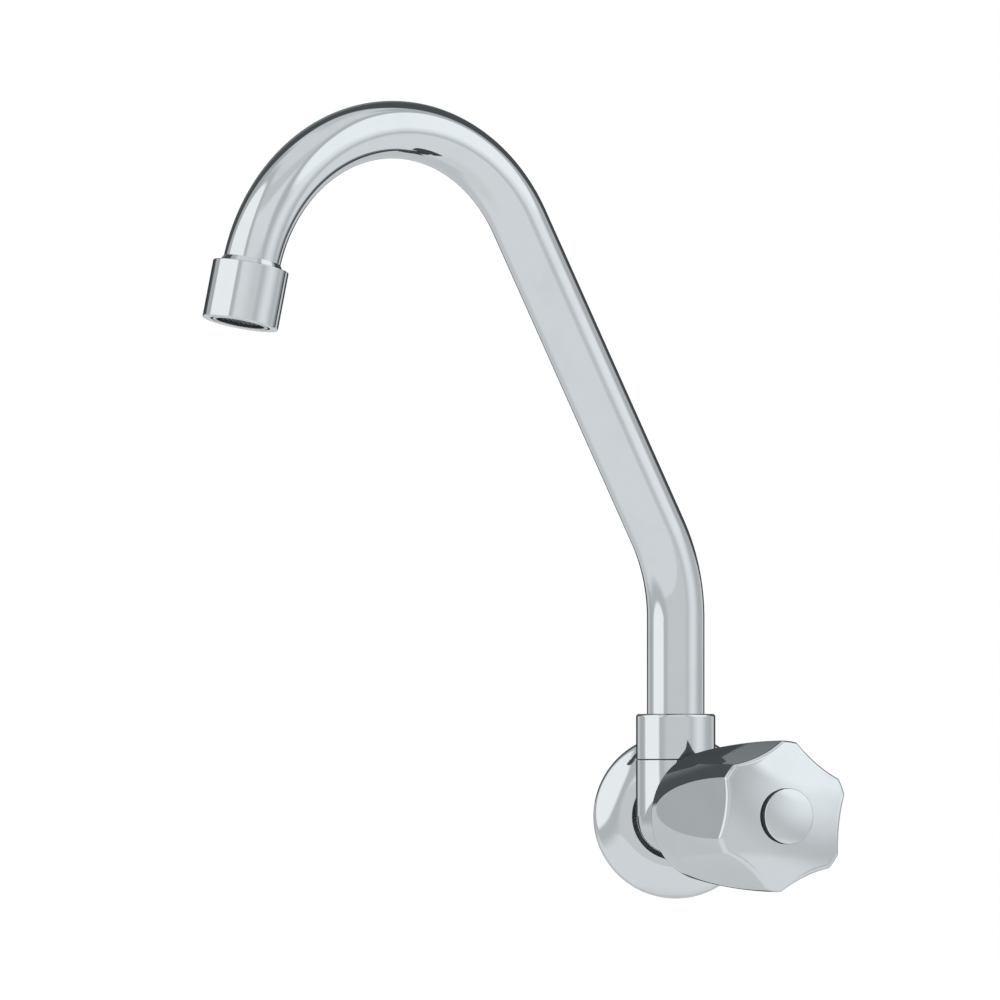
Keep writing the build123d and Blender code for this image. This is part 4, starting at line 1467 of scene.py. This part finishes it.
@dataclass
class Studio:
    """Plain room: a white page for the camera, soft tones for the metal to mirror, a floor and a lamp."""

    chrome_reflectance: float = 0.78  # chrome shows a tone at this share, so the room is that much brighter
    met_twice: float = 1.5  # glossy depth above which a ray has met chrome twice
    floor_height: float = -300.0
    floor_radius: float = 5000.0
    floor_corners: int = 96
    floor_color: str = "f4f4f3"
    floor_mottle: str = "f0f0ef"
    mottle_size: float = 400.0
    floor_roughness: float = 0.85
    lamp_place: tuple[float, float, float] = (-700.0, -1500.0, 2400.0)
    lamp_size: float = 1800.0
    lamp_power: float = 9.0

    def mask(
        self,
        tree: bpy.types.NodeTree,
        tone: Tone,
        azimuth: bpy.types.NodeSocket,
        elevation: bpy.types.NodeSocket,
    ) -> bpy.types.NodeSocket:
        """Adds the nodes of a tone's mask.

        Args:
            tree: The world's tree.
            tone: The tone.
            azimuth: Azimuth of the direction, in radians.
            elevation: Its elevation, in radians.

        Returns:
            The mask's output, 1 inside the tone and 0 outside.
        """
        middle = math.radians(tone.azimuth), math.radians(tone.elevation)
        turned = add_node(tree, "Math", {0: azimuth, 1: middle[0]}, operation="SUBTRACT")
        wrapped = add_node(tree, "Math", {0: turned.outputs[0], 1: math.pi, 2: -math.pi}, operation="WRAP")
        raised = add_node(tree, "Math", {0: elevation, 1: middle[1]}, operation="SUBTRACT")
        offset = add_node(tree, "CombineXYZ", {0: wrapped.outputs[0], 1: raised.outputs[0]})
        size = (math.radians(tone.half_width), math.radians(tone.half_height), 1.0)
        scaled = add_node(tree, "VectorMath", {0: offset.outputs[0], 1: size}, operation="DIVIDE")
        measured = scaled.outputs[0]
        power = 2 if tone.square else 1
        if tone.square:
            squares = add_node(tree, "VectorMath", {0: measured, 1: measured}, operation="MULTIPLY")
            measured = squares.outputs[0]
        length = add_node(tree, "VectorMath", {0: measured}, operation="LENGTH")
        limits = {"From Min": (1 + tone.edge / 2) ** power, "From Max": max(0.0, 1 - tone.edge / 2) ** power}
        fade = add_node(
            tree, "MapRange", {"Value": length.outputs["Value"], **limits}, interpolation_type="SMOOTHSTEP"
        )
        return fade.outputs["Result"]

    def world(self) -> None:
        """Makes the world: white to the camera, and the room's tones to every other ray.

        A ray that has met chrome twice gets the dim room.
        """
        world = bpy.data.worlds.new("plain_studio")
        bpy.context.scene.world = world
        world.use_nodes = True
        tree = world.node_tree
        tree.nodes.clear()
        direction = add_node(tree, "SeparateXYZ", {0: add_node(tree, "TexCoord").outputs["Generated"]})
        toward = add_node(tree, "Math", {0: direction.outputs["Y"], 1: -1.0}, operation="MULTIPLY")
        plan = {0: direction.outputs["X"], 1: toward.outputs[0]}
        azimuth = add_node(tree, "Math", plan, operation="ARCTAN2")
        elevation = add_node(tree, "Math", {0: direction.outputs["Z"]}, operation="ARCSINE")
        color: object = linear(ROOM_TONE)
        for tone in STUDIO_TONES:
            mask = self.mask(tree, tone, azimuth.outputs[0], elevation.outputs[0])
            tones = {"Factor": mask, "A": color, "B": linear(tone.color)}
            color = add_node(tree, "Mix", tones, data_type="RGBA").outputs["Result"]
        path = add_node(tree, "LightPath").outputs
        depth = {0: path["Glossy Depth"], 1: self.met_twice}
        again = add_node(tree, "Math", depth, operation="GREATER_THAN")
        tones = {"Factor": again.outputs[0], "A": color, "B": linear(DIM_TONE)}
        dim = add_node(tree, "Mix", tones, data_type="RGBA")
        room = add_node(
            tree, "Background", {"Color": dim.outputs["Result"], "Strength": 1 / self.chrome_reflectance}
        )
        page = add_node(tree, "Background", {"Color": (1.0, 1.0, 1.0, 1.0), "Strength": 1.0})
        bounced = {0: path["Is Glossy Ray"], 1: path["Is Transmission Ray"]}
        mirrored = add_node(tree, "Math", bounced, operation="ADD")
        straight = {0: path["Is Camera Ray"], 1: mirrored.outputs[0]}
        seen = add_node(tree, "Math", straight, operation="SUBTRACT", use_clamp=True)
        shown = add_node(tree, "MixShader", {0: seen.outputs[0], 1: room.outputs[0], 2: page.outputs[0]})
        add_node(tree, "OutputWorld", {"Surface": shown.outputs[0]})

    def floor(self) -> None:
        """Makes a pale round floor below the tap, which keeps the tap's shadow and is open from below."""
        angle = np.linspace(0, 2 * np.pi, self.floor_corners, endpoint=False)
        across, along = self.floor_radius * np.cos(angle), self.floor_radius * np.sin(angle)
        level = np.full(self.floor_corners, self.floor_height)
        points = np.column_stack((across, along, level))
        mesh = bpy.data.meshes.new("studio_floor")
        mesh.from_pydata((points * MM).tolist(), [], [list(range(self.floor_corners))])
        disc = bpy.data.objects.new("studio_floor", mesh)
        bpy.context.scene.collection.objects.link(disc)
        material, tree, surface = new_material("painted_studio_floor")
        place = add_node(tree, "TexCoord").outputs["Object"]
        soft = {"Vector": place, "Scale": per_metre(self.mottle_size), "Detail": 3.0}
        mottle = add_node(tree, "TexNoise", soft)
        tints = {"A": linear(self.floor_color), "B": linear(self.floor_mottle)}
        color = add_node(tree, "Mix", {"Factor": mottle.outputs["Fac"], **tints}, data_type="RGBA")
        coat = {"Base Color": color.outputs["Result"], "Roughness": self.floor_roughness}
        paint = add_node(tree, "BsdfPrincipled", coat)
        below = add_node(tree, "NewGeometry").outputs["Backfacing"]
        clear = add_node(tree, "BsdfTransparent")
        shown = add_node(tree, "MixShader", {0: below, 1: paint.outputs[0], 2: clear.outputs[0]})
        tree.links.new(shown.outputs[0], surface)
        mesh.materials.append(material)
        disc.visible_glossy = False

    def lamp(self) -> None:
        """Makes one large soft lamp above the camera, which the metal doesn't mirror."""
        light = bpy.data.lights.new("soft_lamp", "AREA")
        light.shape = "DISK"
        light.size = self.lamp_size * MM
        light.energy = self.lamp_power
        lamp = bpy.data.objects.new("soft_lamp", light)
        lamp.location = Vector(self.lamp_place) * MM
        lamp.rotation_mode = "QUATERNION"
        lamp.rotation_quaternion = (-lamp.location).to_track_quat("-Z", "Y")
        lamp.visible_glossy = False
        lamp.visible_camera = False
        bpy.context.scene.collection.objects.link(lamp)

    def build(self) -> None:
        """Makes the whole studio."""
        self.world()
        self.floor()
        self.lamp()
        bpy.context.scene.view_settings.view_transform = "Standard"


@dataclass
class View:
    """Camera of the photograph: level, square to the wall and without perspective.

    Attributes:
        origin: Pixel of the photograph where the frame's origin lies.
        pixel: Size of a pixel, in mm.
        pixels: Width and height of the photograph.
        distance: Distance from the wall, in mm.
    """

    origin: tuple[float, float] = (675.7, 816.3)
    pixel: float = 0.3125
    pixels: int = 1000
    distance: float = 1500.0

    def build(self) -> None:
        """Makes the camera and gives it to the scene."""
        data = bpy.data.cameras.new("photograph_view")
        data.type = "ORTHO"
        data.ortho_scale = self.pixel * self.pixels * MM
        across = (self.pixels / 2 - self.origin[0]) * self.pixel
        up = (self.origin[1] - self.pixels / 2) * self.pixel
        camera = bpy.data.objects.new("photograph_view", data)
        camera.location = Vector((across, -self.distance, up)) * MM
        camera.rotation_euler = (math.pi / 2, 0.0, 0.0)
        bpy.context.scene.collection.objects.link(camera)
        bpy.context.scene.camera = camera


# ------------------------------------------------------------------------------------------------
# The tap
# ------------------------------------------------------------------------------------------------

HOUSING_MIDDLE = 9.1  # mm, from the start of the aerator housing to its mount


def outlet_axes() -> Axes:
    """Axes of the outlet, with their foot where the aerator housing starts."""
    outlet = mount("outlet_housing")
    along = unit(outlet["axis"])
    foot = np.array(outlet["pos_m"]) / MM - HOUSING_MIDDLE * along
    return Axes(foot, along, unit(np.cross(along, np.cross(along, (0.0, 0.0, 1.0)))))


def main() -> None:
    """Builds the tap's surfaces and finishes, the studio and the camera."""
    logging.basicConfig(level=logging.INFO, format="%(name)s: %(message)s")
    outlet = outlet_axes()
    hinge = joint_axes("spout_swivel", (1.0, 0.0, 0.0))
    swivel_foot = hinge.foot * (1.0, 1.0, 0.0)
    reach = (outlet.foot - swivel_foot) * (1.0, 1.0, 0.0)
    swivel = Axes(swivel_foot, hinge.along, unit(reach))
    valve = joint_axes("handle_turn", (1.0, 0.0, 0.0))
    wall = Axes(np.zeros(3), np.array((0.0, -1.0, 0.0)), np.array((0.0, 0.0, 1.0)))

    chrome = ChromePlate().material()
    acetal = ACETAL.material()
    # black acetal is painted shade: it darkens the cap's side, the aerator's slot and the diffuser.
    black_acetal = BLACK_ACETAL.material()
    steel = Metal("pickled_stainless_steel", "b9bcbe", "9da0a2", 0.3, 0.42, valve).material()
    # The wire's darker grey is painted shade: the screen sits in the unlit inside of the aerator.
    wire = Metal("stainless_wire_painted_shade", "7b7f81", "4c5052", 0.26, 0.4, outlet).material()
    brass = Metal("turned_brass", "d9b76a", "b8934c", 0.22, 0.38, valve).material()
    bush_brass = Metal("turned_brass_bush", "d9b76a", "b8934c", 0.22, 0.38, swivel).material()
    rubber = NITRILE_RUBBER.material()
    finishes = {
        chrome: ("body",),
        brass: ("valve_seat", "valve_bonnet", "valve_stem", "valve_plunger"),
        bush_brass: ("spout_bush",),
        VULCANISED_FIBRE.material(): ("bonnet_washer",),
        rubber: ("stem_o_rings", "seat_washer", "spout_o_rings", "aerator_gasket"),
        # The foam's pale grey is painted light in the shaded gap round the flange's hole.
        FOAM_RUBBER.material(): ("flange_gasket",),
        acetal: ("slip_washer",),
        # The diffuser's black is painted shade for the unlit inside behind the screen.
        black_acetal: ("aerator_diffuser",),
        steel: ("stem_circlip", "washer_screw", "handle_screw"),
    }
    for material, nodes in finishes.items():
        for node in nodes:
            for slot in frame["nodes"][node].material_slots:
                slot.material = material

    WallFlange(wall, chrome).build()
    SpoutNut(swivel, chrome).build()
    Handle(valve, chrome).build()
    HandleCap(valve, chrome, black_acetal).build()
    SpoutTube(swivel, chrome).build()
    Outlet(outlet, chrome, acetal, black_acetal, wire).build()
    Studio().build()
    View().build()


if __name__ == "__main__":
    main()
